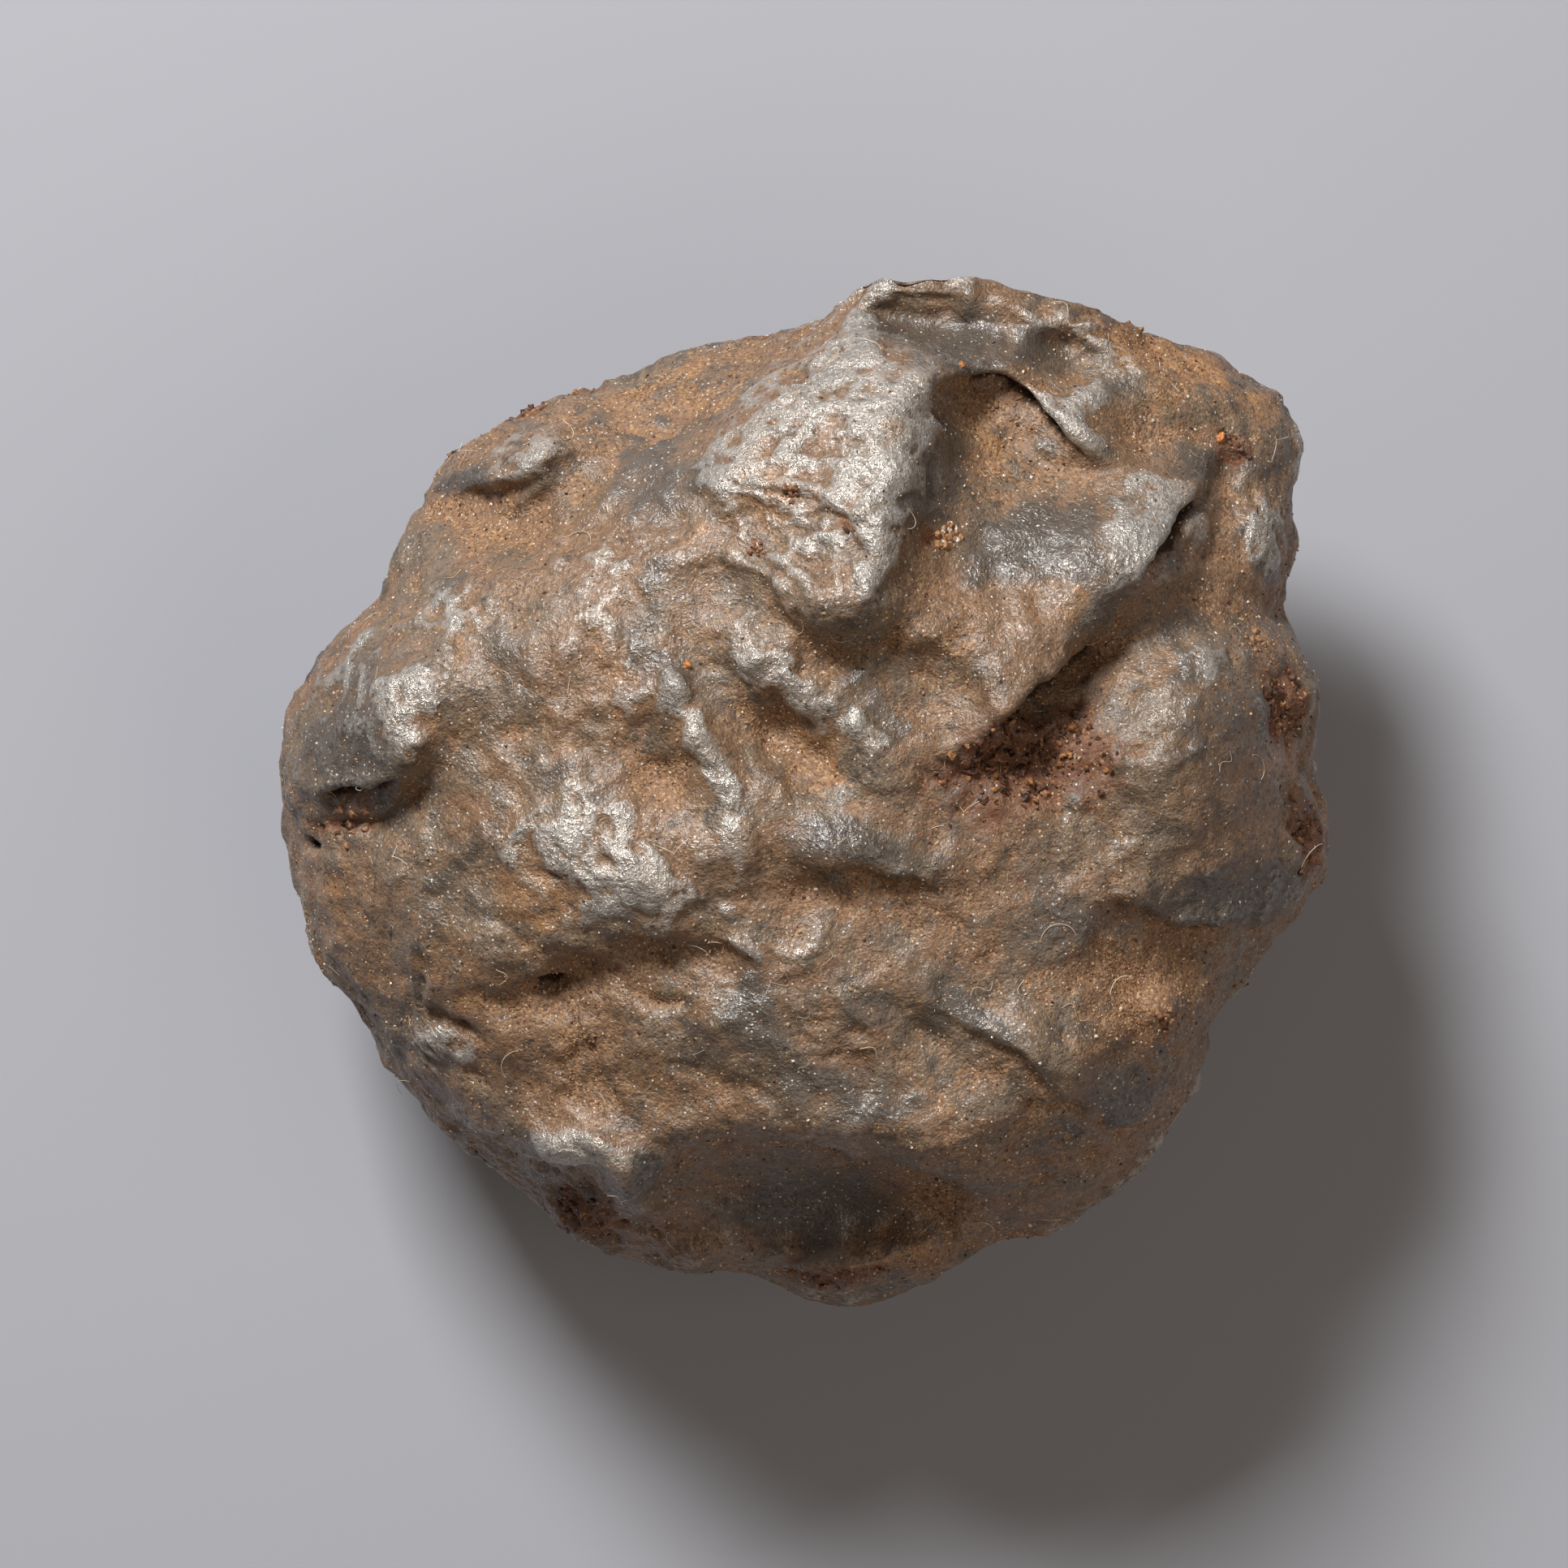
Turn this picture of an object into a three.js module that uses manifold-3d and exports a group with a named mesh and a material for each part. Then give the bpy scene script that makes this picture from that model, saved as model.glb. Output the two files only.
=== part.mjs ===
// A hand-sized iron meteorite, lying on its back with its thumbprinted face up.
// It is one solid piece of weathered iron. Sizes are in millimetres, +Z is up, and the
// origin is on the surface that it rests on, under the middle of its outline.
//
// The lump is an outline seen from above, a relief on its upper face, and a keel-shaped
// underside with scoops all round, cut off at the small flat spot that it rests on.

import * as THREE from "three";
import { mergeVertices } from "three/addons/utils/BufferGeometryUtils.js";
import Module from "manifold-3d";

const SPHERE_DETAIL = 21; // 20 x (detail + 1)^2 faces on the blank
const FACE_TOP = 38.5; // height of the upper face at its summit
const FACE_SUMMIT = [0, 5]; // where the upper face is highest
const FACE_FALL = [0.0085, 0.011]; // how fast it falls away, in mm per square mm, along X and Y
const RIM_SHARPNESS = 7.5; // how late the upper face turns over into the sides
const KEEL_ROUNDNESS = 2.25; // 2 is an ellipse from the rim down to the keel, more is fuller
const KEEL_DEPTH = 0.8; // how far the uncut keel would reach below the flat spot
const SHOULDER_ROUND = 8; // how wide the top of the steep shoulder is rounded over
const IRON_COLOUR = 0x5c4c40;

const radians = (degrees) => (degrees * Math.PI) / 180;

// The outline seen from above, anticlockwise from the right-hand side.
const OUTLINE = [
  [31.5, 1.7], [31.3, 4.6], [31.5, 6.6], [30.6, 8.7], [29.8, 11.0], [28.9, 12.3],
  [30.0, 14.2], [30.4, 15.8], [30.0, 18.0], [30.4, 21.5], [29.9, 24.0], [27.8, 26.1],
  [24.6, 27.7], [21.4, 28.5], [17.2, 30.0], [13.2, 31.1], [10.2, 31.7], [6.2, 31.6],
  [3.9, 31.6], [2.7, 30.6], [1.0, 29.2], [-2.8, 28.5], [-7.0, 27.6], [-11.6, 25.7],
  [-14.6, 25.0], [-19.3, 22.6], [-22.5, 20.8], [-23.6, 18.0], [-24.7, 15.4], [-25.2, 13.4],
  [-25.7, 12.3], [-27.6, 10.9], [-29.2, 9.6], [-31.0, 6.8], [-32.0, 4.6], [-32.3, 1.8],
  [-32.1, -1.2], [-31.7, -4.2], [-30.8, -7.2], [-29.6, -10.4], [-27.4, -13.4],
  [-25.2, -16.8], [-23.8, -18.6], [-22.3, -20.4], [-20.1, -22.1], [-18.0, -23.6],
  [-16.4, -25.2], [-15.0, -26.9], [-13.0, -28.0], [-10.6, -28.3], [-8.8, -28.8],
  [-7.2, -29.4], [-4.6, -29.2], [-2.4, -30.0], [0, -31.0], [3.0, -31.6],
  [6.8, -30.4], [9.6, -28.4], [12.2, -27.3], [14.8, -26.6], [16.6, -25.9], [19.0, -24.4],
  [21.5, -21.8],
  [22.6, -19.8], [24.4, -17.2], [25.1, -14.0], [27.4, -10.6], [28.2, -8.8], [30.1, -6.8],
  [32.0, -4.4], [32.3, -2.0],
];

// Height of the widest line round the lump, as [direction in degrees, height].
const RIM_HEIGHTS = [
  [0, 20], [14, 23], [25, 21], [38, 19.5], [50, 22], [62, 27], [70, 28.5], [80, 29.5],
  [85, 27.5], [91, 23], [99, 19], [106, 17], [112, 18], [124, 15.5], [137, 18], [149, 20],
  [158, 18], [172, 20], [186, 17.5], [200, 20], [214, 18.5], [228, 15], [241, 13.5],
  [252, 16], [265, 12], [276, 13], [288, 17], [300, 15.5], [314, 19], [330, 17.5],
  [345, 21], [360, 20],
];

// The steep shoulder that falls away behind the upper left of the face: a line across
// the top of it, the way it falls, its height there and its slope.
const SHOULDER = { at: [-12.2, 19.2], away: [-0.58, 0.815], height: 33.5, slope: 1.5 };

// Lumps on the face, and hollows where the rise is negative:
// centre, half sizes, turn of the first of them in degrees, rise, and how flat-topped.
const LUMPS = [
  { at: [2.8, 17.6], size: [7.6, 8.6], turn: -20, rise: 2.4, flat: 1 }, // big facet, upper middle
  { at: [-27.0, 6.6], size: [6.0, 4.6], turn: 25, rise: 3.6, flat: 1.3 }, // left shoulder
  { at: [-27.2, -1.3], size: [2.7, 0.9], turn: 5, rise: -2.0, flat: 1 }, // slot under it
  { at: [-17.4, 21.9], size: [4.6, 3.4], turn: 25, rise: 7.4, flat: 1.4 }, // upper left knob
  { at: [-19.0, 17.2], size: [4.2, 1.9], turn: -18, rise: -2.6, flat: 1 }, // dent below it
  { at: [7.4, 28.8], size: [4.6, 1.7], turn: -5, rise: -5.4, flat: 1.2 }, // dent in the top rim
  { at: [15.9, 27.0], size: [2.7, 2.1], turn: -35, rise: -3.4, flat: 1.3 }, // its neighbour
  { at: [12.0, 21.0], size: [5.0, 3.4], turn: -25, rise: -2.4, flat: 1.2 }, // upper thumbprint
  { at: [16.6, 22.9], size: [2.3, 2.7], turn: 20, rise: 2.4, flat: 1.3 }, // knob beside it
  { at: [22.5, 25.0], size: [3.4, 1.8], turn: -25, rise: 1.8, flat: 1 }, // upper right rim
  { at: [22.4, 21.6], size: [2.2, 1.6], turn: 10, rise: -1.4, flat: 1 },
  { at: [28.2, 23.2], size: [2.2, 3.6], turn: 5, rise: 1.8, flat: 1 },
  { at: [28.0, 16.4], size: [2.2, 2.8], turn: 15, rise: 2.8, flat: 1.2 }, // right-hand knob
  { at: [20.4, 15.4], size: [4.6, 3.2], turn: 48, rise: 1.7, flat: 1.2 }, // high end of the slab
  { at: [2.0, 7.6], size: [3.0, 1.3], turn: -16, rise: -0.7, flat: 1 }, // dent at the centre
  { at: [5.0, 10.2], size: [3.8, 2.4], turn: -15, rise: 1.7, flat: 1 }, // foot of the big facet
  { at: [-1.6, 3.8], size: [5.0, 1.6], turn: -38, rise: -1.9, flat: 1.2 }, // slanting thumbprint
  { at: [-8.6, 1.6], size: [2.6, 1.8], turn: -30, rise: -1.3, flat: 1 },
  { at: [-11.3, -3.5], size: [5.6, 3.8], turn: -8, rise: 2.3, flat: 1.3 }, // bright central boss
  { at: [-14.6, -11.6], size: [3.4, 1.1], turn: 12, rise: -1.2, flat: 1 }, // crease under it
  { at: [24.0, 3.6], size: [5.8, 7.8], turn: 8, rise: 3.3, flat: 1.5 }, // right-hand cushion
  { at: [29.4, 6.0], size: [1.8, 2.8], turn: 10, rise: -2.0, flat: 1 },
  { at: [14.4, 1.4], size: [4.4, 2.2], turn: 10, rise: 0.5, flat: 1.2 }, // crumbling pit's floor
  { at: [19.2, -11.2], size: [3.4, 2.4], turn: 20, rise: -1.5, flat: 1 }, // dusty dent
  { at: [22.0, -12.8], size: [2.0, 1.1], turn: -5, rise: 1.4, flat: 1 },
  { at: [0.5, -14.0], size: [8.5, 5.0], turn: 0, rise: 1.6, flat: 1.2 }, // lower belly
  { at: [-21.4, -15.6], size: [3.0, 1.8], turn: -35, rise: 1.8, flat: 1 },
  { at: [-1.2, -25.2], size: [8.6, 3.2], turn: -2, rise: -4.0, flat: 1.4 }, // lower thumbprint
  { at: [5.4, -29.0], size: [6.2, 1.9], turn: 14, rise: 4.4, flat: 1.2 }, // lip below it
  { at: [17.2, -23.6], size: [2.6, 1.5], turn: 25, rise: 1.4, flat: 1 },
  { at: [17.5, -17.0], size: [9.5, 6.5], turn: 40, rise: 2.9, flat: 1.4 }, // lower right plate
  { at: [8.5, -20.5], size: [7.0, 4.2], turn: 12, rise: 1.6, flat: 1.2 },
  { at: [2.6, -2.4], size: [5.2, 2.2], turn: -5, rise: 1.0, flat: 1.4 },
  { at: [-16.0, 10.5], size: [6.0, 5.0], turn: 0, rise: 1.0, flat: 1 }, // brown upper left field
];

// Crests along a line, and valleys where the rise is negative.
const CRESTS = [
  { line: [[7.8, 27.0], [6.4, 23.6], [5.4, 18.2], [3.8, 12.4]], width: 2.6, rise: 1.9 }, // main
  { line: [[-3.0, 8.7], [0.5, 6.7], [3.5, 4.7], [4.7, 2.4]], width: 1.5, rise: 1.4 },
  { line: [[-8.2, 6.8], [-6.4, 3.0], [-4.5, -0.6], [-4.2, -2.6]], width: 1.5, rise: 1.3 },
  { line: [[14.1, 29.0], [16.3, 29.0], [18.9, 26.8], [19.8, 25.8], [17.8, 24.6]],
    width: 0.9, rise: 1.7 }, // thin rim of the second dent
  { line: [[12.4, 30.6], [13.0, 28.4], [12.6, 26.2]], width: 0.9, rise: 1.3 }, // between them
  { line: [[-21.5, -19.4], [-18.0, -19.6], [-15.0, -21.1], [-12.7, -20.9], [-10.9, -24.2]],
    width: 1.5, rise: 1.6 },
  { line: [[29.0, 12.0], [23.0, 11.0], [18.5, 8.4], [15.6, 5.6]],
    width: 1.8, rise: -1.8 }, // long valley from the notch in the outline
  { line: [[18.6, 23.4], [19.2, 19.6], [23.0, 19.2], [27.0, 19.6]], width: 1.4, rise: -1.7 },
  { line: [[-1.4, 13.8], [1.8, 10.6], [3.0, 9.8]], width: 0.9, rise: 0.8 }, // folds of the facet
  { line: [[-4.4, 17.6], [-0.6, 14.2]], width: 0.9, rise: -0.4 },
];

// Ledges: the ground is high on the left of the line as it is walked, and low on the
// right. The width is that of the step, and the reach is how far it is felt.
const LEDGES = [
  { line: [[3.4, 10.8], [4.6, 13.2], [6.9, 18.0], [8.0, 22.6], [8.6, 25.8]],
    drop: 4.0, width: 1.7, reach: 5.8 }, // the main crest's steep right-hand side
  { line: [[1.2, 28.8], [0.2, 27.4], [-1.2, 26.0], [-4.6, 23.8], [-7.0, 21.0]],
    drop: 5.6, width: 1.3, reach: 4.4 }, // its left end, above the shoulder
  { line: [[6.9, 24.0], [9.5, 25.1], [11.9, 25.2], [13.9, 23.6], [15.4, 21.2], [17.4, 20.2]],
    drop: 2.8, width: 0.5, reach: 2.6 }, // brow of the upper thumbprint
  { line: [[11.6, 3.2], [15.0, 6.8], [17.2, 9.7], [20.6, 12.4], [23.2, 15.4], [24.4, 19.0]],
    drop: 4.4, width: 0.7, reach: 4.2 }, // slanting slab over the long valley
  { line: [[3.6, 11.2], [7.0, 9.2], [10.4, 6.2], [11.8, 3.8]],
    drop: 2.4, width: 1.4, reach: 4.0 }, // the slab's lower end
  { line: [[-18.8, -11.4], [-15.8, -10.2], [-13.3, -8.8], [-10.2, -8.2], [-6.8, -8.6],
      [-3.8, -9.4]],
    drop: 2.3, width: 0.8, reach: 2.8 }, // underside of the central boss
  { line: [[-31.4, 0.0], [-29.4, -0.4], [-27.0, -0.7], [-24.8, 0.2], [-22.8, 2.0]],
    drop: 3.4, width: 0.5, reach: 2.4 }, // underside of the left shoulder
  { line: [[-21.7, 2.8], [-22.8, 6.2], [-21.4, 9.2], [-18.6, 12.0]],
    drop: 1.5, width: 0.9, reach: 3 },
  { line: [[-23.0, 19.0], [-20.0, 18.9], [-16.9, 19.6], [-14.8, 21.0]],
    drop: 2.6, width: 0.6, reach: 2.4 }, // underside of the upper left knob
  { line: [[-24.4, -8.4], [-23.6, -11.4], [-22.2, -12.8], [-19.6, -14.2], [-18.4, -15.6]],
    drop: 1.5, width: 0.6, reach: 2.4 },
  { line: [[-22.4, -20.8], [-17.0, -22.4], [-12.6, -22.4], [-10.6, -25.4]],
    drop: 4.6, width: 0.6, reach: 3.4 }, // lower left brow
  { line: [[-10.4, -25.4], [-9.2, -22.8], [-7.0, -21.5], [-2.0, -20.8], [4.5, -21.6], [9.6, -23.2]],
    drop: 4.6, width: 0.6, reach: 3.8 }, // brow of the lower thumbprint
  { line: [[0.4, -4.4], [5.0, -4.8], [8.2, -5.4]], drop: 1.6, width: 0.6, reach: 2.2 },
  { line: [[19.4, -6.6], [23.0, -8.2], [26.6, -8.3], [30.4, -6.4]],
    drop: 3.2, width: 0.7, reach: 2.6 }, // underside of the right-hand cushion
  { line: [[7.0, -12.8], [9.7, -14.4], [12.3, -15.5], [15.4, -17.5], [17.4, -19.3],
      [19.6, -20.2], [22.4, -19.6]],
    drop: 1.5, width: 0.5, reach: 2.4 }, // lower edge of the plate
  { line: [[9.4, 2.2], [11.8, 3.4], [14.2, 3.3], [16.6, 2.4]], drop: 1.4, width: 0.5, reach: 1.6 },
  { line: [[-3.8, 18.2], [-0.4, 17.7], [3.0, 16.0]], drop: 1.3, width: 0.5, reach: 1.8 },
  { line: [[-5.2, 14.2], [-2.0, 12.4], [0.6, 10.2]], drop: 1.0, width: 0.5, reach: 1.6 },
  { line: [[-9.4, -5.6], [-7.2, -6.6], [-4.8, -6.2], [-2.6, -4.6]],
    drop: 0.9, width: 0.5, reach: 1.6 },
];
// How strongly the blank's points are drawn in towards the ledges, and from how far.
const GATHER = { share: 0.55, reach: 2.2 };
const LEDGE_END = 0.4; // how far a ledge runs on past its ends, as a share of its reach
const CREST_SHARPNESS = 1.6; // 2 is a rounded crest, 1 a knife edge

// Small dimples and swellings all over the face, laid out by a golden-angle spiral.
const DIMPLES = { count: 110, radius: [1.3, 2.8], rise: [-0.45, 0.4], flat: 1.2, field: 31 };

// Planes that flatten the underside: the way each faces, as degrees round and degrees
// below the horizon, and its distance from the middle of the lump.
const KEEL_FACETS = [
  { round: 14, below: 40, distance: 25.4 },
  { round: 70, below: 30, distance: 27.4 },
  { round: 122, below: 50, distance: 23.4 },
  { round: 176, below: 32, distance: 27.0 },
  { round: 232, below: 46, distance: 23.8 },
  { round: 292, below: 36, distance: 26.0 },
];
const MIDDLE = new THREE.Vector3(0, 0, 19);
const FACET_SOFTNESS = 1.6;
const FACET_PRESS = 0.8; // how much of what lies beyond a plane is pressed back to it

// Thumbprints over the sides and underside, laid out by a golden-angle spiral.
const SCOOPS = { count: 44, radius: [4.2, 8.2], depth: [0.9, 2.5], highest: 0.38, lowest: -0.9 };
const SCOOP_AT_RIM = 0.35; // share of a scoop's depth that is left at the widest line
const SCOOP_RIM_FADE = [0.1, 0.65]; // how it dies out above that line, by share of height
const SCOOP_KEEL_GROW = [0, 0.4]; // how it grows to full depth below it
const FACET_GROW = [0.03, 0.6]; // how the planes take hold below it
const SCOOP_EDGE = 2.6; // higher gives scoops with flatter floors and crisper rims
const SCOOP_FLOOR = 0.62; // share of a scoop's radius where its side is half way up
const GOLDEN_ANGLE = Math.PI * (3 - Math.sqrt(5));

// How many of the blank's faces go to each square millimetre, against the others.
const FACE_DENSITY = 1.9;
const SIDE_DENSITY = 1.0;
const NOMINAL_RADIUS = 30.5;
const NOMINAL_RIM = 19;
const NOMINAL_TOP = 35.5;
const PROFILE_STEPS = 400;
const OUTLINE_SAMPLES = 1440;
const GROUND = { width: 100, depth: 20 }; // what is cut away below the flat spot
const WELD = 1e-5; // corners closer than this are one

// Distance of the outline from the origin, by direction in radians.
function makeOutlineRadius() {
  const points = OUTLINE.map(([x, y]) => new THREE.Vector3(x, y, 0));
  const curve = new THREE.CatmullRomCurve3(points, true, "centripetal");
  const samples = curve.getPoints(OUTLINE_SAMPLES).slice(0, -1).map((p) => ({
    angle: (Math.atan2(p.y, p.x) + 2 * Math.PI) % (2 * Math.PI),
    radius: Math.hypot(p.x, p.y),
  }));
  samples.sort((a, b) => a.angle - b.angle);
  const first = samples[0];
  const last = samples[samples.length - 1];
  samples.unshift({ angle: last.angle - 2 * Math.PI, radius: last.radius });
  samples.push({ angle: first.angle + 2 * Math.PI, radius: first.radius });
  return (angle) => {
    const wanted = (angle + 2 * Math.PI) % (2 * Math.PI);
    let low = 0;
    let high = samples.length - 1;
    while (high - low > 1) {
      const middle = (low + high) >> 1;
      if (samples[middle].angle <= wanted) low = middle;
      else high = middle;
    }
    const span = samples[high].angle - samples[low].angle;
    const share = span > 0 ? (wanted - samples[low].angle) / span : 0;
    return THREE.MathUtils.lerp(samples[low].radius, samples[high].radius, share);
  };
}
const outlineRadius = makeOutlineRadius();

function rimHeight(angle) {
  const degrees = THREE.MathUtils.radToDeg((angle + 2 * Math.PI) % (2 * Math.PI));
  const next = RIM_HEIGHTS.findIndex(([at]) => at > degrees);
  const [from, low] = RIM_HEIGHTS[next - 1];
  const [to, high] = RIM_HEIGHTS[next];
  const share = THREE.MathUtils.smoothstep(degrees, from, to);
  return THREE.MathUtils.lerp(low, high, share);
}

// The smaller of two heights, with the corner between them rounded over about `round` mm.
function softMin(a, b, round) {
  const share = Math.max(round - Math.abs(a - b), 0) / round;
  return Math.min(a, b) - (share * share * round) / 4;
}

function lumpAt(x, y, { at, size, turn, rise, flat }) {
  const along = radians(turn);
  const dx = x - at[0];
  const dy = y - at[1];
  const u = (dx * Math.cos(along) + dy * Math.sin(along)) / size[0];
  const v = (dy * Math.cos(along) - dx * Math.sin(along)) / size[1];
  return rise * Math.exp(-Math.pow(u * u + v * v, flat));
}

// Nearest place on a line of points: how far off it is, the same with a sign for the side
// of the line, the way from the line to (x, y), and how far (x, y) is past the line's ends.
function nearestOnLine(x, y, line) {
  let best = { distance: Infinity };
  for (let i = 0; i + 1 < line.length; i++) {
    const [ax, ay] = line[i];
    const [bx, by] = line[i + 1];
    const length = Math.hypot(bx - ax, by - ay);
    const tx = (bx - ax) / length;
    const ty = (by - ay) / length;
    const along = (x - ax) * tx + (y - ay) * ty;
    const held = THREE.MathUtils.clamp(along, 0, length);
    const off = [x - ax - held * tx, y - ay - held * ty];
    const distance = Math.hypot(...off);
    if (distance >= best.distance) continue;
    const across = tx * (y - ay) - ty * (x - ax);
    const beyond = (i === 0 && along < 0) || (i === line.length - 2 && along > length);
    best = beyond
      ? { distance, side: across, off: [-ty * across, tx * across], past: Math.abs(along - held) }
      : { distance, side: Math.sign(across) * distance, off, past: 0 };
  }
  return best;
}

function crestAt(x, y, { line, width, rise }) {
  const { distance } = nearestOnLine(x, y, line);
  return rise * Math.exp(-Math.pow(distance / width, CREST_SHARPNESS));
}

// How much of a ledge is left at a place past its ends.
const ledgeEnd = (past, reach) => Math.exp(-((past / (LEDGE_END * reach)) ** 2));

function ledgeAt(x, y, { line, drop, width, reach }) {
  const { side, past } = nearestOnLine(x, y, line);
  const fade = Math.exp(-((side / reach) ** 2)) * ledgeEnd(past, reach);
  return 0.5 * drop * Math.tanh(side / width) * fade;
}

// Draws a point of the blank in towards the ledges near it, so that they come out crisp.
function gather(x, y, amount) {
  let [toX, toY] = [x, y];
  for (const { line, reach } of LEDGES) {
    const { side, off, past } = nearestOnLine(toX, toY, line);
    const near = Math.exp(-((side / GATHER.reach) ** 2)) * ledgeEnd(past, reach);
    toX -= GATHER.share * amount * near * off[0];
    toY -= GATHER.share * amount * near * off[1];
  }
  return [toX, toY];
}

function makeDimples() {
  const { count, radius, rise, flat, field } = DIMPLES;
  return Array.from({ length: count }, (_, i) => {
    const out = field * Math.sqrt((i + 0.5) / count);
    const round = i * GOLDEN_ANGLE + 0.6 * Math.sin(4.3 * i);
    return {
      at: [out * Math.cos(round), out * Math.sin(round)],
      size: [
        THREE.MathUtils.lerp(radius[0], radius[1], 0.5 + 0.5 * Math.sin(2.9 * i)),
        THREE.MathUtils.lerp(radius[0], radius[1], 0.5 + 0.5 * Math.sin(6.1 * i + 2)),
      ],
      turn: 77 * i,
      rise: THREE.MathUtils.lerp(rise[0], rise[1], 0.5 + 0.5 * Math.sin(3.3 * i + 1)),
      flat,
    };
  });
}
const dimples = makeDimples();

// Height of the upper face over (x, y), before it turns over at the rim.
function faceHeight(x, y) {
  const [fallX, fallY] = FACE_FALL;
  const dome = FACE_TOP - fallX * (x - FACE_SUMMIT[0]) ** 2 - fallY * (y - FACE_SUMMIT[1]) ** 2;
  const down = (x - SHOULDER.at[0]) * SHOULDER.away[0] + (y - SHOULDER.at[1]) * SHOULDER.away[1];
  let height = softMin(dome, SHOULDER.height - SHOULDER.slope * down, SHOULDER_ROUND);
  for (const lump of LUMPS) height += lumpAt(x, y, lump);
  for (const dimple of dimples) height += lumpAt(x, y, dimple);
  for (const crest of CRESTS) height += crestAt(x, y, crest);
  for (const ledge of LEDGES) height += ledgeAt(x, y, ledge);
  return height;
}

// Share of the way from the rim to full height, at a share `out` of the outline's radius,
// for the upper face and for the underside.
const faceTurn = (out) => Math.sqrt(1 - Math.pow(out, RIM_SHARPNESS));
const keelTurn = (out) => Math.pow(1 - Math.pow(out, KEEL_ROUNDNESS), 1 / KEEL_ROUNDNESS);

// The profile from the top of the face, round the rim, to the bottom of the keel, as
// shares of the outline's radius. It is spaced so that the blank's equal areas land
// densest on the face.
function makeProfile() {
  const steps = [];
  for (let i = 0; i <= PROFILE_STEPS; i++) {
    const out = Math.sin((i / PROFILE_STEPS) * (Math.PI / 2));
    steps.push({ out, upper: true });
  }
  for (let i = PROFILE_STEPS - 1; i >= 0; i--) {
    const out = Math.sin((i / PROFILE_STEPS) * (Math.PI / 2));
    steps.push({ out, upper: false });
  }
  const place = ({ out, upper }) => ({
    r: out * NOMINAL_RADIUS,
    z: upper
      ? NOMINAL_RIM + (NOMINAL_TOP - NOMINAL_RIM) * faceTurn(out)
      : NOMINAL_RIM * (1 - keelTurn(out)),
  });
  let total = 0;
  steps[0].area = 0;
  for (let i = 1; i < steps.length; i++) {
    const a = place(steps[i - 1]);
    const b = place(steps[i]);
    const density = steps[i].upper ? FACE_DENSITY : SIDE_DENSITY;
    total += density * (a.r + b.r) * Math.hypot(b.r - a.r, b.z - a.z);
    steps[i].area = total;
  }
  return (share) => {
    const wanted = share * total;
    const next = Math.max(1, steps.findIndex((step) => step.area >= wanted));
    const a = steps[next - 1];
    const b = steps[next < 0 ? steps.length - 1 : next];
    const part = b.area > a.area ? (wanted - a.area) / (b.area - a.area) : 0;
    return { out: THREE.MathUtils.lerp(a.out, b.out, part), upper: b.upper };
  };
}
const profile = makeProfile();

// The thumbprints of the sides and underside, each with a centre direction.
function makeScoops() {
  const { count, radius, depth, highest, lowest } = SCOOPS;
  return Array.from({ length: count }, (_, i) => {
    const share = (i + 0.5) / count;
    const up = THREE.MathUtils.lerp(highest, lowest, share);
    const round = i * GOLDEN_ANGLE + 0.5 * Math.sin(5.1 * i);
    const flat = Math.sqrt(1 - up * up);
    const vary = 0.5 + 0.5 * Math.sin(2.3 * i + 1);
    return {
      way: new THREE.Vector3(flat * Math.cos(round), flat * Math.sin(round), up),
      radius: THREE.MathUtils.lerp(radius[0], radius[1], vary),
      depth: THREE.MathUtils.lerp(depth[0], depth[1], 0.5 + 0.5 * Math.sin(3.7 * i)),
    };
  });
}
const scoops = makeScoops();

const facets = KEEL_FACETS.map(({ round, below, distance }) => ({
  normal: new THREE.Vector3(
    Math.cos(radians(below)) * Math.cos(radians(round)),
    Math.cos(radians(below)) * Math.sin(radians(round)),
    -Math.sin(radians(below)),
  ),
  distance,
}));

// Presses an offset from the middle of the lump back to the facets of the underside.
function pressToFacets(offset, amount) {
  for (const { normal, distance } of facets) {
    const over = offset.dot(normal) - distance;
    const pressed = 0.5 * (over + Math.sqrt(over * over + FACET_SOFTNESS * FACET_SOFTNESS));
    offset.addScaledVector(normal, -FACET_PRESS * pressed * amount);
  }
}

// How deep the scoops are at an offset from the middle of the lump.
function scoopDepth(offset) {
  const outward = offset.clone().normalize();
  const reach = offset.length();
  let depthHere = 0;
  for (const { way, radius, depth } of scoops) {
    const gap = outward.distanceTo(way) * reach;
    depthHere += depth * Math.exp(-Math.pow(gap / (SCOOP_FLOOR * radius), SCOOP_EDGE));
  }
  return depthHere;
}

function scoopOut(offset, amount) {
  offset.addScaledVector(offset.clone().normalize(), -scoopDepth(offset) * amount);
}

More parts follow.
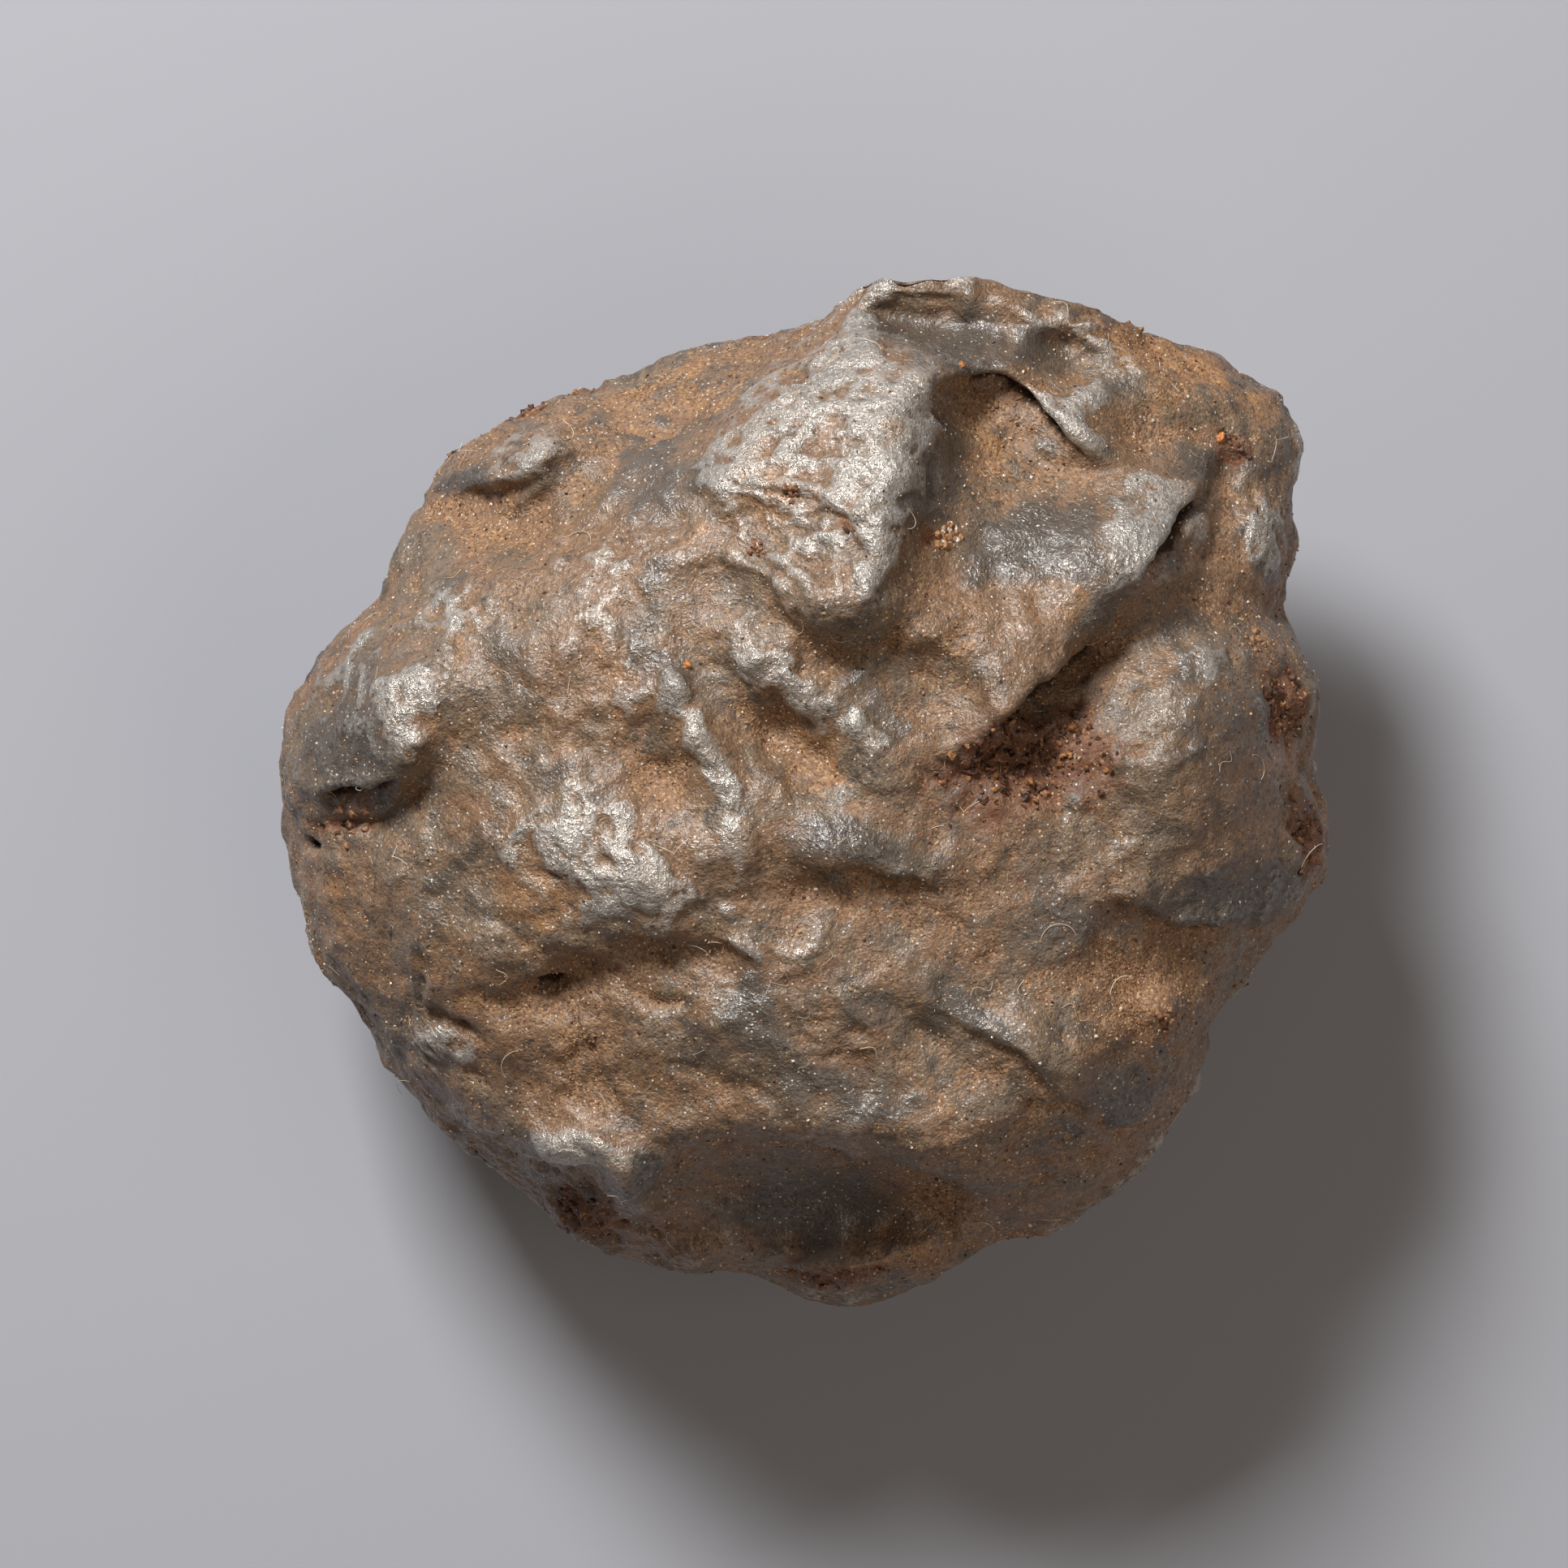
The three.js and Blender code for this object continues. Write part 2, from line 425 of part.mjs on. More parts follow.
// Moves one point of the unit sphere to its place on the meteorite. The widest line is
// set out by what the scoops take from it, so that the outline stays as it is drawn.
function placeOnStone(direction) {
  const { smoothstep, lerp } = THREE.MathUtils;
  const angle = Math.atan2(direction.y, direction.x);
  const { out, upper } = profile((1 - direction.z) / 2);
  const [cos, sin] = [Math.cos(angle), Math.sin(angle)];
  const rim = rimHeight(angle);
  const drawn = outlineRadius(angle);
  const atRim = new THREE.Vector3(drawn * cos, drawn * sin, rim).sub(MIDDLE);
  const edge = drawn + SCOOP_AT_RIM * scoopDepth(atRim);
  const radius = out * lerp(NOMINAL_RADIUS, edge, out ** 3);
  const [x, y] = [radius * cos, radius * sin];
  if (upper) {
    const [faceX, faceY] = gather(x, y, 1 - out ** 5);
    const up = faceTurn(out);
    const z = rim + (faceHeight(faceX, faceY) - rim) * up;
    const offset = new THREE.Vector3(faceX, faceY, z).sub(MIDDLE);
    scoopOut(offset, SCOOP_AT_RIM * (1 - smoothstep(up, ...SCOOP_RIM_FADE)));
    return offset.add(MIDDLE);
  }
  const down = keelTurn(out);
  const offset = new THREE.Vector3(x, y, rim - (rim + KEEL_DEPTH) * down).sub(MIDDLE);
  pressToFacets(offset, smoothstep(down, ...FACET_GROW));
  scoopOut(offset, lerp(SCOOP_AT_RIM, 1, smoothstep(down, ...SCOOP_KEEL_GROW)));
  return offset.add(MIDDLE);
}

function makeBlank() {
  const sphere = new THREE.IcosahedronGeometry(1, SPHERE_DETAIL);
  sphere.deleteAttribute("normal");
  sphere.deleteAttribute("uv");
  const blank = mergeVertices(sphere, WELD);
  const position = blank.getAttribute("position");
  for (let i = 0; i < position.count; i++) {
    const direction = new THREE.Vector3().fromBufferAttribute(position, i).normalize();
    const { x, y, z } = placeOnStone(direction);
    position.setXYZ(i, x, y, z);
  }
  return blank;
}

function toSolid(wasm, geometry) {
  return new wasm.Manifold(
    new wasm.Mesh({
      numProp: 3,
      vertProperties: new Float32Array(geometry.getAttribute("position").array),
      triVerts: new Uint32Array(geometry.index.array),
    }),
  );
}

// Everything below the surface that the meteorite rests on.
function makeGround() {
  const { width, depth } = GROUND;
  const ground = new THREE.BoxGeometry(width, width, depth).translate(0, 0, -depth / 2);
  ground.deleteAttribute("normal");
  ground.deleteAttribute("uv");
  return mergeVertices(ground, WELD);
}

function toGeometry(solid) {
  const { vertProperties, triVerts } = solid.getMesh();
  return new THREE.BufferGeometry()
    .setAttribute("position", new THREE.BufferAttribute(vertProperties, 3))
    .setIndex(new THREE.BufferAttribute(triVerts, 1));
}

const wasm = await Module();
wasm.setup();
const stone = toSolid(wasm, makeBlank()).subtract(toSolid(wasm, makeGround()));

const iron = new THREE.MeshStandardMaterial({
  color: IRON_COLOUR,
  roughness: 0.5,
  metalness: 0.6,
});
const geometry = toGeometry(stone);
geometry.computeBoundingBox();
const centre = geometry.boundingBox.getCenter(new THREE.Vector3());
geometry.translate(-centre.x, -centre.y, 0);
geometry.computeVertexNormals();
const meteorite = new THREE.Mesh(geometry, iron);
meteorite.name = "meteorite";

const group = new THREE.Group();
group.add(meteorite);
export default group;
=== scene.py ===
"""The looks of a hand-sized iron meteorite, built round its solid.

The solid gives the lump, its hollows and its ledges. Here its skin gets the fine relief of
weathered iron, bright metal on the crests with painted highlight in its lighter colour, soil
in the hollows, rust in the pits, painted glints in white specks, and painted shade in the
creases, the pits and part of the dark crust; loose grains, crumbs and lint lie on it. Sizes in
this file are in millimetres unless they say otherwise; Blender's own are in metres. Places on
the face are (x, y) seen from above.
"""

import math
from functools import partial

import bmesh
import bpy
import numpy as np
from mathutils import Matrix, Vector


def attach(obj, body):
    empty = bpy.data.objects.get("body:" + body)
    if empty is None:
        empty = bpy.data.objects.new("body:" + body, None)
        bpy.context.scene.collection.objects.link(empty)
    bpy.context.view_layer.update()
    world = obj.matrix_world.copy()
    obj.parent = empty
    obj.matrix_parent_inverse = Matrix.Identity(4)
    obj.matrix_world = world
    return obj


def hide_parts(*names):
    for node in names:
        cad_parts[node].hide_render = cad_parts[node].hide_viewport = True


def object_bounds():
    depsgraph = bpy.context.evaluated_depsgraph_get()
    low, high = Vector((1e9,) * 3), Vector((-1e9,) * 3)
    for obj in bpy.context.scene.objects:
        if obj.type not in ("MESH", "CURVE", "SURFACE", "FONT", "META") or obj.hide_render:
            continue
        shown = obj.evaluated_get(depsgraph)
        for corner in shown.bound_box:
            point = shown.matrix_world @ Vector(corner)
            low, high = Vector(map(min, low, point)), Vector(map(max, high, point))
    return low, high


bl_info = {
    "name": "Iron Meteorite",
    "version": (1, 0, 0),
    "blender": (4, 5, 0),
    "location": "3D View > Sidebar > Meteorite",
    "description": "Weathered skin, soil grains and lint on a hand-sized iron meteorite",
    "category": "Add Mesh",
}

MM = 0.001
BODY = "root"
NODE = "meteorite"
SKIN = "meteorite_skin"

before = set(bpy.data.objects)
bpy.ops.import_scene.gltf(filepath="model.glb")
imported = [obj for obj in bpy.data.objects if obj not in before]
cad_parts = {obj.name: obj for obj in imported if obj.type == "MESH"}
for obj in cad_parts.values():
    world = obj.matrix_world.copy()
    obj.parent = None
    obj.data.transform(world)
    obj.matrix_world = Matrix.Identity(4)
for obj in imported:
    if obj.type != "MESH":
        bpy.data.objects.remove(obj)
box_of_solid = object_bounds()


# Patches of the face: centre, half sizes, turn in degrees, strength.

# Where handling and weather have worn the crests down to bright metal. Their lighter colour is
# partly painted highlight, laid where the highlights fall.
WORN_AND_HIGHLIGHT_PATCHES = [
    ((0.8, 21.0), (5.6, 6.6), -20, 1.0),
    ((0.5, 15.6), (4.2, 2.4), -30, 0.7),
    ((5.4, 17.0), (1.2, 5.0), -12, 0.6),
    ((0.4, 25.8), (1.8, 4.4), -38, 0.9),
    ((8.0, 31.0), (5.5, 0.7), 0, 0.7),
    ((17.0, 28.4), (2.6, 0.8), -50, 0.7),
    ((16.4, 23.0), (2.0, 2.4), 0, 0.8),
    ((16.0, 28.9), (2.2, 0.6), -8, 0.8),
    ((18.7, 26.6), (1.6, 0.6), -45, 0.8),
    ((21.0, 16.8), (2.6, 2.6), 0, 0.7),
    ((28.0, 16.4), (1.9, 2.6), 0, 0.7),
    ((24.0, 8.0), (2.6, 1.6), 0, 0.25),
    ((0.6, 6.4), (4.6, 1.0), -38, 0.75),
    ((-6.0, 2.2), (1.1, 5.0), 20, 0.7),
    ((-3.4, 8.0), (1.8, 1.2), 0, 0.8),
    ((-12.2, -3.4), (4.8, 3.1), -8, 1.0),
    ((-12.4, -3.6), (3.6, 2.2), -8, 0.8),
    ((-7.2, -5.6), (1.8, 0.8), 25, 0.8),
    ((-4.6, -5.6), (1.2, 0.7), 35, 0.7),
    ((-21.2, 11.0), (2.6, 1.3), 0, 0.8),
    ((-12.0, 12.0), (3.4, 4.6), -25, 0.4),
    ((-10.6, 7.0), (2.0, 2.4), 0, 0.35),
    ((-23.6, 5.4), (1.6, 2.0), 0, 0.7),
    ((-27.0, 7.4), (4.4, 3.4), 20, 0.35),
    ((-17.4, 21.4), (2.8, 2.2), 20, 0.7),
    ((-21.6, -15.0), (2.2, 1.1), -35, 0.8),
    ((-14.0, -21.0), (2.4, 0.9), 0, 1.0),
    ((-4.0, -9.6), (6.5, 1.2), 12, 0.3),
]

# Where soil has packed in and dried. The patch at (13, -20) on the lower right paints warm
# reflected light as soil colour.
SOIL_AND_REFLECTION_PATCHES = [
    ((-10.0, 25.0), (8.5, 3.4), 28, 1.0),
    ((20.5, 26.6), (7.0, 3.0), -20, 0.9),
    ((-16.5, 10.4), (7.0, 5.0), 0, 0.45),
    ((-19.4, 16.8), (3.6, 1.8), -20, 0.7),
    ((13.2, 19.6), (3.6, 2.6), -25, 0.7),
    ((19.4, -12.0), (3.8, 3.6), 0, 1.0),
    ((-1.4, 4.0), (4.2, 1.2), -38, 0.8),
    ((-9.0, 1.8), (2.2, 1.6), 0, 0.7),
    ((-14.5, -13.0), (6.4, 5.0), 0, 0.6),
    ((-13.7, -15.0), (0.7, 2.2), 0, 1.0),
    ((4.6, -6.6), (4.4, 1.4), 0, 0.7),
    ((2.4, -1.6), (4.6, 2.0), 0, 0.6),
    ((11.4, -9.0), (5.0, 3.4), 20, 0.5),
    ((-1.0, -15.0), (6.0, 4.0), 0, 0.35),
    ((13.0, -2.4), (5.0, 2.4), 0, 0.5),
    # Painted warm reflected light on the lower right, laid on as soil colour.
    ((13.0, -20.0), (8.0, 4.4), 20, 0.7),
    ((24.0, -12.0), (3.0, 5.0), 20, 0.6),
    ((4.0, 11.0), (4.0, 2.0), -30, 0.4),
    ((6.0, -28.6), (5.4, 1.8), 14, 0.7),
]

# Where the crust is dark grey magnetite, smooth and waxy. Their dark colour is partly
# painted shade, laid on dents and faces where shade falls.
SLATE_AND_SHADE_PATCHES = [
    ((-27.4, 3.0), (3.6, 3.4), 0, 1.0),
    ((-26.6, 7.6), (3.2, 2.6), 20, 0.6),
    ((8.0, 19.6), (2.3, 4.6), -10, 1.0),
    ((7.8, 28.2), (5.8, 2.2), -8, 1.0),
    ((15.6, 26.8), (2.4, 1.8), -35, 0.8),
    ((-21.2, 19.9), (2.0, 1.3), -10, 0.9),
    ((-24.2, 17.0), (1.2, 2.6), 0, 0.5),
    ((-8.4, 19.6), (5.0, 2.8), 30, 0.65),
    ((-18.0, 8.0), (2.6, 4.0), -20, 0.5),
    ((13.8, 15.8), (5.2, 3.4), 25, 1.0),
    ((21.0, 15.8), (2.4, 1.5), 50, 1.0),
    ((18.2, 11.6), (2.8, 1.0), 42, 0.7),
    ((24.6, 20.2), (3.2, 1.0), 8, 0.7),
    ((18.6, 24.4), (1.4, 1.0), 30, 0.7),
    ((28.4, 14.4), (1.6, 1.6), 0, 0.8),
    ((24.8, 4.6), (4.6, 6.4), 0, 0.5),
    ((25.6, -6.0), (5.6, 2.0), 10, 0.9),
    ((29.0, -7.4), (2.4, 1.4), 35, 1.0),
    ((3.2, -2.2), (4.2, 1.9), 0, 0.9),
    ((-3.0, -12.6), (2.0, 3.2), 15, 0.9),
    ((3.0, -17.6), (5.0, 1.8), -8, 0.7),
    ((9.6, -12.6), (3.4, 1.2), -35, 0.9),
    ((-6.4, -15.6), (2.0, 1.6), 0, 0.6),
    ((4.4, -12.4), (2.2, 1.4), 0, 0.6),
    ((19.4, -18.0), (3.0, 1.5), 15, 0.8),
    ((0.4, -25.0), (8.0, 3.0), 0, 0.95),
    ((-9.6, -22.0), (1.2, 2.4), 30, 0.7),
    ((-17.4, -17.6), (2.2, 2.4), 0, 0.5),
    ((-0.8, -17.2), (2.2, 1.4), 0, 0.5),
]

# Where the rust has stained crust and soil orange.
STAIN_PATCHES = [
    ((-9.6, 26.2), (7.6, 2.0), 27, 0.9),
    ((-5.6, 24.0), (2.4, 2.2), 20, 0.8),
    ((21.6, 27.0), (7.6, 2.2), -20, 0.9),
    ((28.2, 23.4), (2.0, 3.0), 0, 0.6),
    ((-19.4, 16.4), (4.2, 1.2), -8, 0.6),
    ((19.6, -12.0), (2.0, 2.6), 10, 0.5),
    ((-16.4, -5.4), (2.4, 2.6), -20, 0.7),
    ((-16.7, -7.2), (1.8, 0.7), 0, 0.9),
    ((29.4, 2.6), (2.2, 3.0), 0, 0.8),
    ((12.0, 21.6), (3.4, 2.0), -30, 0.7),
    ((9.6, 9.6), (1.8, 2.6), 0, 0.6),
    ((4.2, -5.6), (3.6, 1.0), 0, 0.8),
    ((-28.8, -6.0), (1.4, 3.6), 10, 0.6),
    ((-6.0, 9.0), (4.4, 3.0), 20, 0.35),
    ((-2.6, 16.6), (2.8, 1.4), -30, 0.5),
    ((6.4, -28.6), (5.2, 1.6), 14, 0.8),
    ((-12.6, -22.8), (2.0, 2.4), 0, 0.6),
    ((22.6, -14.6), (1.6, 2.6), 0, 0.6),
    ((17.4, -24.2), (2.6, 1.2), 20, 0.7),
]

# Where the small bowls and swells of the skin are shallow.
SMOOTH_PATCHES = [
    ((13.0, -9.0), (11.0, 8.0), 20, 1.0),
    ((-1.0, -14.5), (10.0, 6.0), 0, 0.9),
    ((-16.5, 12.0), (9.0, 7.0), 20, 0.8),
    ((-23.0, -6.0), (7.0, 7.0), 0, 0.7),
    ((24.0, 3.0), (5.0, 8.0), 0, 0.8),
    ((2.4, -2.6), (6.0, 3.0), 0, 0.9),
    ((12.8, 16.4), (4.4, 3.4), 0, 0.8),
    ((11.6, 21.0), (4.0, 2.8), -25, 0.7),
    ((-14.0, -15.0), (7.0, 5.0), 0, 0.6),
    ((0.0, -25.0), (8.0, 3.4), 0, 0.8),
    ((21.0, 26.0), (7.0, 3.0), -20, 0.6),
]

# Where loose ochre grains have gathered.
PILES = [
    ((19.6, -12.0), (2.3, 3.4), 10, 1.0),
    ((17.6, -9.0), (2.6, 1.6), 0, 0.6),
    ((3.6, -5.5), (3.4, 0.9), 0, 0.8),
    ((9.4, -4.6), (2.4, 2.4), 0, 0.35),
    ((15.6, -5.0), (4.6, 2.4), 0, 0.35),
    ((11.6, 23.8), (2.4, 1.0), -30, 0.9),
    ((12.4, 20.8), (3.0, 1.8), -30, 0.4),
    ((9.0, 9.4), (1.4, 2.6), 0, 0.6),
    ((5.6, 6.0), (2.2, 1.2), -30, 0.5),
    ((19.0, 9.6), (4.0, 0.9), 38, 0.6),
    ((27.4, 8.6), (2.0, 1.6), 0, 0.6),
    ((-14.4, -15.2), (0.8, 2.4), 0, 0.9),
    ((-24.2, -3.4), (1.6, 1.4), 0, 0.4),
    ((-22.6, 3.0), (0.8, 2.8), -15, 0.6),
    ((6.4, -28.0), (4.6, 1.2), 14, 0.5),
]

# Where the iron has rusted through its crust and crumbles.
RUST_PATCHES = [
    ((13.6, 1.8), (7.4, 3.6), 8, 1.0),
    ((29.6, 6.2), (1.8, 2.6), 10, 0.9),
    ((30.6, -2.6), (1.5, 4.2), 8, 0.8),
    ((-14.0, -26.0), (4.4, 2.4), -20, 0.8),
    ((0.8, -29.8), (3.2, 1.3), 8, 0.8),
    ((6.0, -29.0), (4.6, 1.0), 14, 0.55),
    ((-28.4, -1.8), (2.4, 1.0), 0, 0.7),
    ((2.6, 16.4), (1.2, 0.7), -20, 0.7),
    ((8.2, 15.6), (0.8, 0.6), 0, 0.8),
    ((25.6, 21.8), (1.8, 1.4), 0, 0.8),
    ((20.0, 27.6), (7.0, 2.0), -20, 0.4),
    ((-9.5, 26.0), (7.0, 2.0), 28, 0.35),
]

# Cracks and creases: points on the line, depth and width.
CREVICES = [
    ([(18.2, 9.2), (15.6, 6.7), (12.8, 4.3), (10.6, 2.6)], 3.2, 0.46),
    ([(-29.6, 0.0), (-27.6, -0.2), (-25.8, 0.2), (-24.4, 0.9)], 2.2, 0.42),
    ([(-31.2, -2.7), (-29.4, -2.9)], 1.2, 0.4),
    ([(-3.6, 18.6), (-0.4, 18.0), (2.8, 16.4)], 0.6, 0.35),
    ([(-2.6, 15.4), (0.4, 13.6), (1.6, 12.4)], 0.5, 0.3),
    ([(-4.6, 15.6), (-1.6, 13.4), (0.4, 11.2)], 0.4, 0.35),
    ([(-16.8, -11.8), (-15.3, -11.3), (-13.8, -10.9)], 1.1, 0.40),
    ([(-10.0, -11.8), (-8.5, -12.3), (-7.2, -12.0)], 0.8, 0.35),
    ([(7.4, -12.7), (10.0, -14.4), (13.0, -16.0), (15.6, -18.2), (17.4, -19.6)], 0.5, 0.32),
    ([(-9.6, -23.6), (-7.0, -21.6), (-2.0, -21.0), (4.2, -21.8)], 0.4, 0.5),
    ([(7.4, 23.9), (9.6, 24.9), (11.9, 25.0), (13.8, 23.5), (15.3, 21.3), (17.2, 20.3)], 1.3, 0.42),
    ([(-23.4, -8.7), (-23.2, -10.7), (-23.2, -12.6)], 0.5, 0.30),
    ([(-23.4, -12.0), (-21.6, -13.6), (-20.2, -14.2), (-19.0, -15.2)], 0.7, 0.35),
    ([(-13.8, -12.8), (-13.6, -15.0), (-13.8, -17.4)], 0.6, 0.25),
    ([(-21.4, -20.6), (-18.6, -21.2), (-16.2, -22.6), (-13.8, -22.6), (-12.2, -24.2)], 0.9, 0.45),
    ([(0.5, -4.6), (4.0, -5.0), (8.0, -5.3)], 0.45, 0.35),
    ([(19.6, -6.9), (23.0, -8.4), (26.6, -8.4), (30.0, -6.5)], 0.7, 0.45),
    ([(17.4, -19.7), (19.6, -20.4), (22.3, -19.6)], 0.7, 0.36),
    ([(-21.4, 18.6), (-19.4, 18.2), (-16.6, 19.2)], 0.6, 0.4),
    ([(28.6, 5.2), (30.2, 4.6), (31.2, 5.0)], 0.6, 0.4),
    ([(24.9, 19.2), (23.5, 17.2), (22.8, 15.2), (20.4, 13.0)], 1.5, 0.42),
]

# Small knobs that stand out of the skin: centre, radius and height.
KNOBS = [
    ((-1.3, 9.4), 0.7, 0.6),
    ((-7.6, 6.8), 0.9, 0.6),
    ((-3.2, 8.0), 0.9, 0.5),
    ((-6.2, 3.6), 0.8, 0.5),
    ((3.0, 4.7), 0.8, 0.5),
    ((21.8, -12.6), 1.2, 0.7),
    ((-28.6, -2.0), 0.8, 0.6),
    ((-27.0, -2.3), 0.6, 0.5),
    ((17.0, -23.2), 1.1, 0.5),
    ((15.2, -22.4), 0.8, 0.4),
    ((-22.2, -14.5), 0.8, 0.5),
    ((-20.7, -15.7), 0.8, 0.5),
    ((-15.0, -21.4), 0.8, 0.5),
    ((-12.7, -20.8), 0.8, 0.5),
    ((10.6, 9.6), 0.7, 0.3),
    ((12.6, 11.4), 0.8, 0.3),
]


# Heaps of crumbs caught on the skin: place, width of the heap, how many crumbs, width of
# the largest and colour.
CRUMBS = [
    ((-7.0, 8.0), 0.0, 1, 0.55, "orange"),
    ((9.5, 26.1), 0.0, 1, 0.45, "orange"),
    ((25.4, 22.0), 0.5, 2, 0.60, "orange"),
    ((-0.8, 18.2), 1.1, 9, 0.50, "rust"),
    ((-2.8, 14.9), 1.1, 8, 0.48, "rust"),
    ((8.6, 15.7), 1.7, 12, 0.60, "ochre"),
    ((8.8, 15.9), 1.4, 8, 0.50, "lint"),
    ((11.2, 23.8), 1.0, 6, 0.45, "soil"),
    ((27.2, 9.6), 1.6, 8, 0.50, "soil"),
    ((-27.6, -1.6), 3.0, 9, 0.70, "rust"),
    ((-12.9, -14.6), 0.9, 5, 0.40, "dark"),
    ((22.2, -13.4), 2.0, 9, 0.60, "rust"),
]


class MeteoriteSkin(bpy.types.PropertyGroup):
    """Relief of the skin, on top of the solid's own shape."""

    cuts: bpy.props.IntProperty(
        name="Cuts",
        description="How many times each of the solid's triangles is cut in four",
        default=2,
        min=0,
        max=2,
    )


class MeteoriteColours(bpy.types.PropertyGroup):
    """Colours of the skin, the soil and what lies on them."""


# sRGB colours of the finishes, by the name of their property.
COLOURS = {
    # The iron colour on the worn crests is partly painted highlight.
    "iron": ("Bare iron", "Nickel-iron where the crust is worn off", 0xB4AEA6),
    "crust": ("Crust", "Grey-brown oxide crust over the iron", 0x705E4C),
    "patina": ("Patina", "Brown oxide crust over the iron", 0x785B42),
    # The dark grey of the magnetite patches is partly painted shade.
    "slate": ("Slate crust", "Dark grey magnetite in smooth patches", 0x4E453C),
    "dark": ("Dark crust", "Oxide crust and shade in the creases", 0x2C2019),
    "soil": ("Soil", "Dried soil in the hollows", 0x8A674B),
    "ochre": ("Ochre", "Orange-brown rust stain and clay", 0xA07346),
    "rust": ("Rust", "Red-brown rust in the pits", 0x6C422B),
    "orange": ("Fresh rust", "Specks of bright fresh rust", 0xC8731E),
    "grain": ("Grains", "Loose grains of soil", 0xBC9A70),
    # This pale colour also paints the white specks on the crust, which are painted glints.
    "lint": ("Lint", "Pale fibres caught on the skin", 0xD8D2C8),
    "floor": ("Floor", "Pale paper that the meteorite lies on", 0x9B9CA2),
}


def srgb(colour):
    """Linear red, green and blue of an sRGB hex value."""
    parts = [((colour >> shift) & 255) / 255 for shift in (16, 8, 0)]
    return tuple(p / 12.92 if p <= 0.04045 else ((p + 0.055) / 1.055) ** 2.4 for p in parts)


for key, (label, words, value) in COLOURS.items():
    MeteoriteColours.__annotations__[key] = bpy.props.FloatVectorProperty(
        name=label,
        description=words,
        subtype="COLOR",
        size=3,
        min=0,
        max=1,
        default=srgb(value),
    )


class MeteoriteLoose(bpy.types.PropertyGroup):
    """What lies loose on the skin."""

    seed: bpy.props.IntProperty(
        name="Seed", description="Picks another scatter of the same kind", default=7
    )


# Heights and depths of the relief: label, description and default in millimetres.
RELIEF_SIZES = {
    "swell": ("Swells", "Height of the low swells, 3 to 6 mm across", 0.34),
    "bowl": ("Bowls", "Depth of the bowls, 2 to 4 mm across, that meet in crisp edges", 0.62),
    "wrinkle": ("Wrinkles", "Height of the leathery wrinkles, 1 to 2 mm across", 0.26),
    "grit": ("Grit", "Height of the rough grit, 1 mm across and less", 0.20),
    "flake": ("Flakes", "Height of the little steps where crust has flaked away", 0.10),
    "pit": ("Pits", "Depth of the small round pits", 0.26),
}

# Sizes of the loose things, in the same way.
LOOSE_SIZES = {
    "grain_size": ("Grain size", "Width of the largest soil grains", 0.27),
    "crumb_size": ("Crumb size", "Width of the largest rust crumbs", 0.70),
    "fibre_length": ("Fibre length", "Length of the longest lint fibres", 2.4),
    "fibre_width": ("Fibre width", "Width of a lint fibre", 0.045),
}

# How many loose things there are: label, description and default.
LOOSE_COUNTS = {
    "grains": ("Grains", "How many grains lie on each square centimetre of soil", 720),
    "heaped": ("Heaped grains", "How many ochre grains lie on each square centimetre of a heap", 1500),
    "crumbs": ("Crumbs", "How many crumbs lie on each square centimetre of rust", 600),
    "fibres": ("Fibres", "How many fibres lie on each ten square centimetres of the face", 26),
}

for group, sizes in ((MeteoriteSkin, RELIEF_SIZES), (MeteoriteLoose, LOOSE_SIZES)):
    for key, (label, words, size) in sizes.items():
        group.__annotations__[key] = bpy.props.FloatProperty(
            name=label, description=words, default=size * MM, unit="LENGTH"
        )
for key, (label, words, count) in LOOSE_COUNTS.items():
    MeteoriteLoose.__annotations__[key] = bpy.props.IntProperty(
        name=label, description=words, default=count, min=0
    )


# Numbers that vary over the skin. All take points in millimetres.


def lattice(cell, seed):
    """Repeatable whole random numbers for whole-number places."""
    mixed = cell[:, 0] * 374761393 + cell[:, 1] * 668265263 + cell[:, 2] * 1440662683
    mixed = (mixed + seed * 974634777) & 0xFFFFFFFF
    mixed = ((mixed ^ (mixed >> 15)) * 2246822519) & 0xFFFFFFFF
    mixed = ((mixed ^ (mixed >> 13)) * 3266489917) & 0xFFFFFFFF
    return mixed ^ (mixed >> 16)


def swells(points, size, seed):
    """Smooth random swells from -1 to 1, about size millimetres across."""
    place = points / size
    cell = np.floor(place).astype(np.int64)
    part = place - cell
    ease = part**3 * (part * (part * 6 - 15) + 10)
    total = np.zeros(len(points))
    for corner in np.ndindex(2, 2, 2):
        bits = lattice(cell + corner, seed)
        slope = np.stack([(bits >> shift) & 1023 for shift in (0, 10, 20)], 1) / 511.5 - 1
        weight = np.prod(np.where(corner, ease, 1 - ease), 1)
        total += weight * np.sum(slope * (part - corner), 1)
    return np.clip(total * 1.4, -1, 1)


def fractal(points, size, octaves, seed):
    """Swells with smaller ones on them, each half the size and height of the last."""
    total = np.zeros(len(points))
    for octave in range(octaves):
        total += swells(points, size / 2**octave, seed + octave) / 2**octave
    return total


def nearest_cell(points, size, seed):
    """Distance to the nearest of many scattered points, in units of their spacing."""
    place = points / size
    cell = np.floor(place).astype(np.int64)
    nearest = np.full(len(points), 9.0)
    for step in np.ndindex(3, 3, 3):
        near = cell + step - 1
        bits = lattice(near, seed)
        spot = near + np.stack([(bits >> shift) & 1023 for shift in (0, 10, 20)], 1) / 1023
        nearest = np.minimum(nearest, np.linalg.norm(spot - place, axis=1))
    return nearest


def in_patches(points, patches):
    """How strongly each point lies in any of a list of patches, from 0 to 1."""
    outside = np.ones(len(points))
    for (x, y), (wide, tall), turn, strength in patches:
        cos, sin = math.cos(math.radians(turn)), math.sin(math.radians(turn))
        dx, dy = points[:, 0] - x, points[:, 1] - y
        u, v = (dx * cos + dy * sin) / wide, (dy * cos - dx * sin) / tall
        outside *= 1 - strength * np.exp(-((u * u + v * v) ** 1.3))
    return 1 - outside


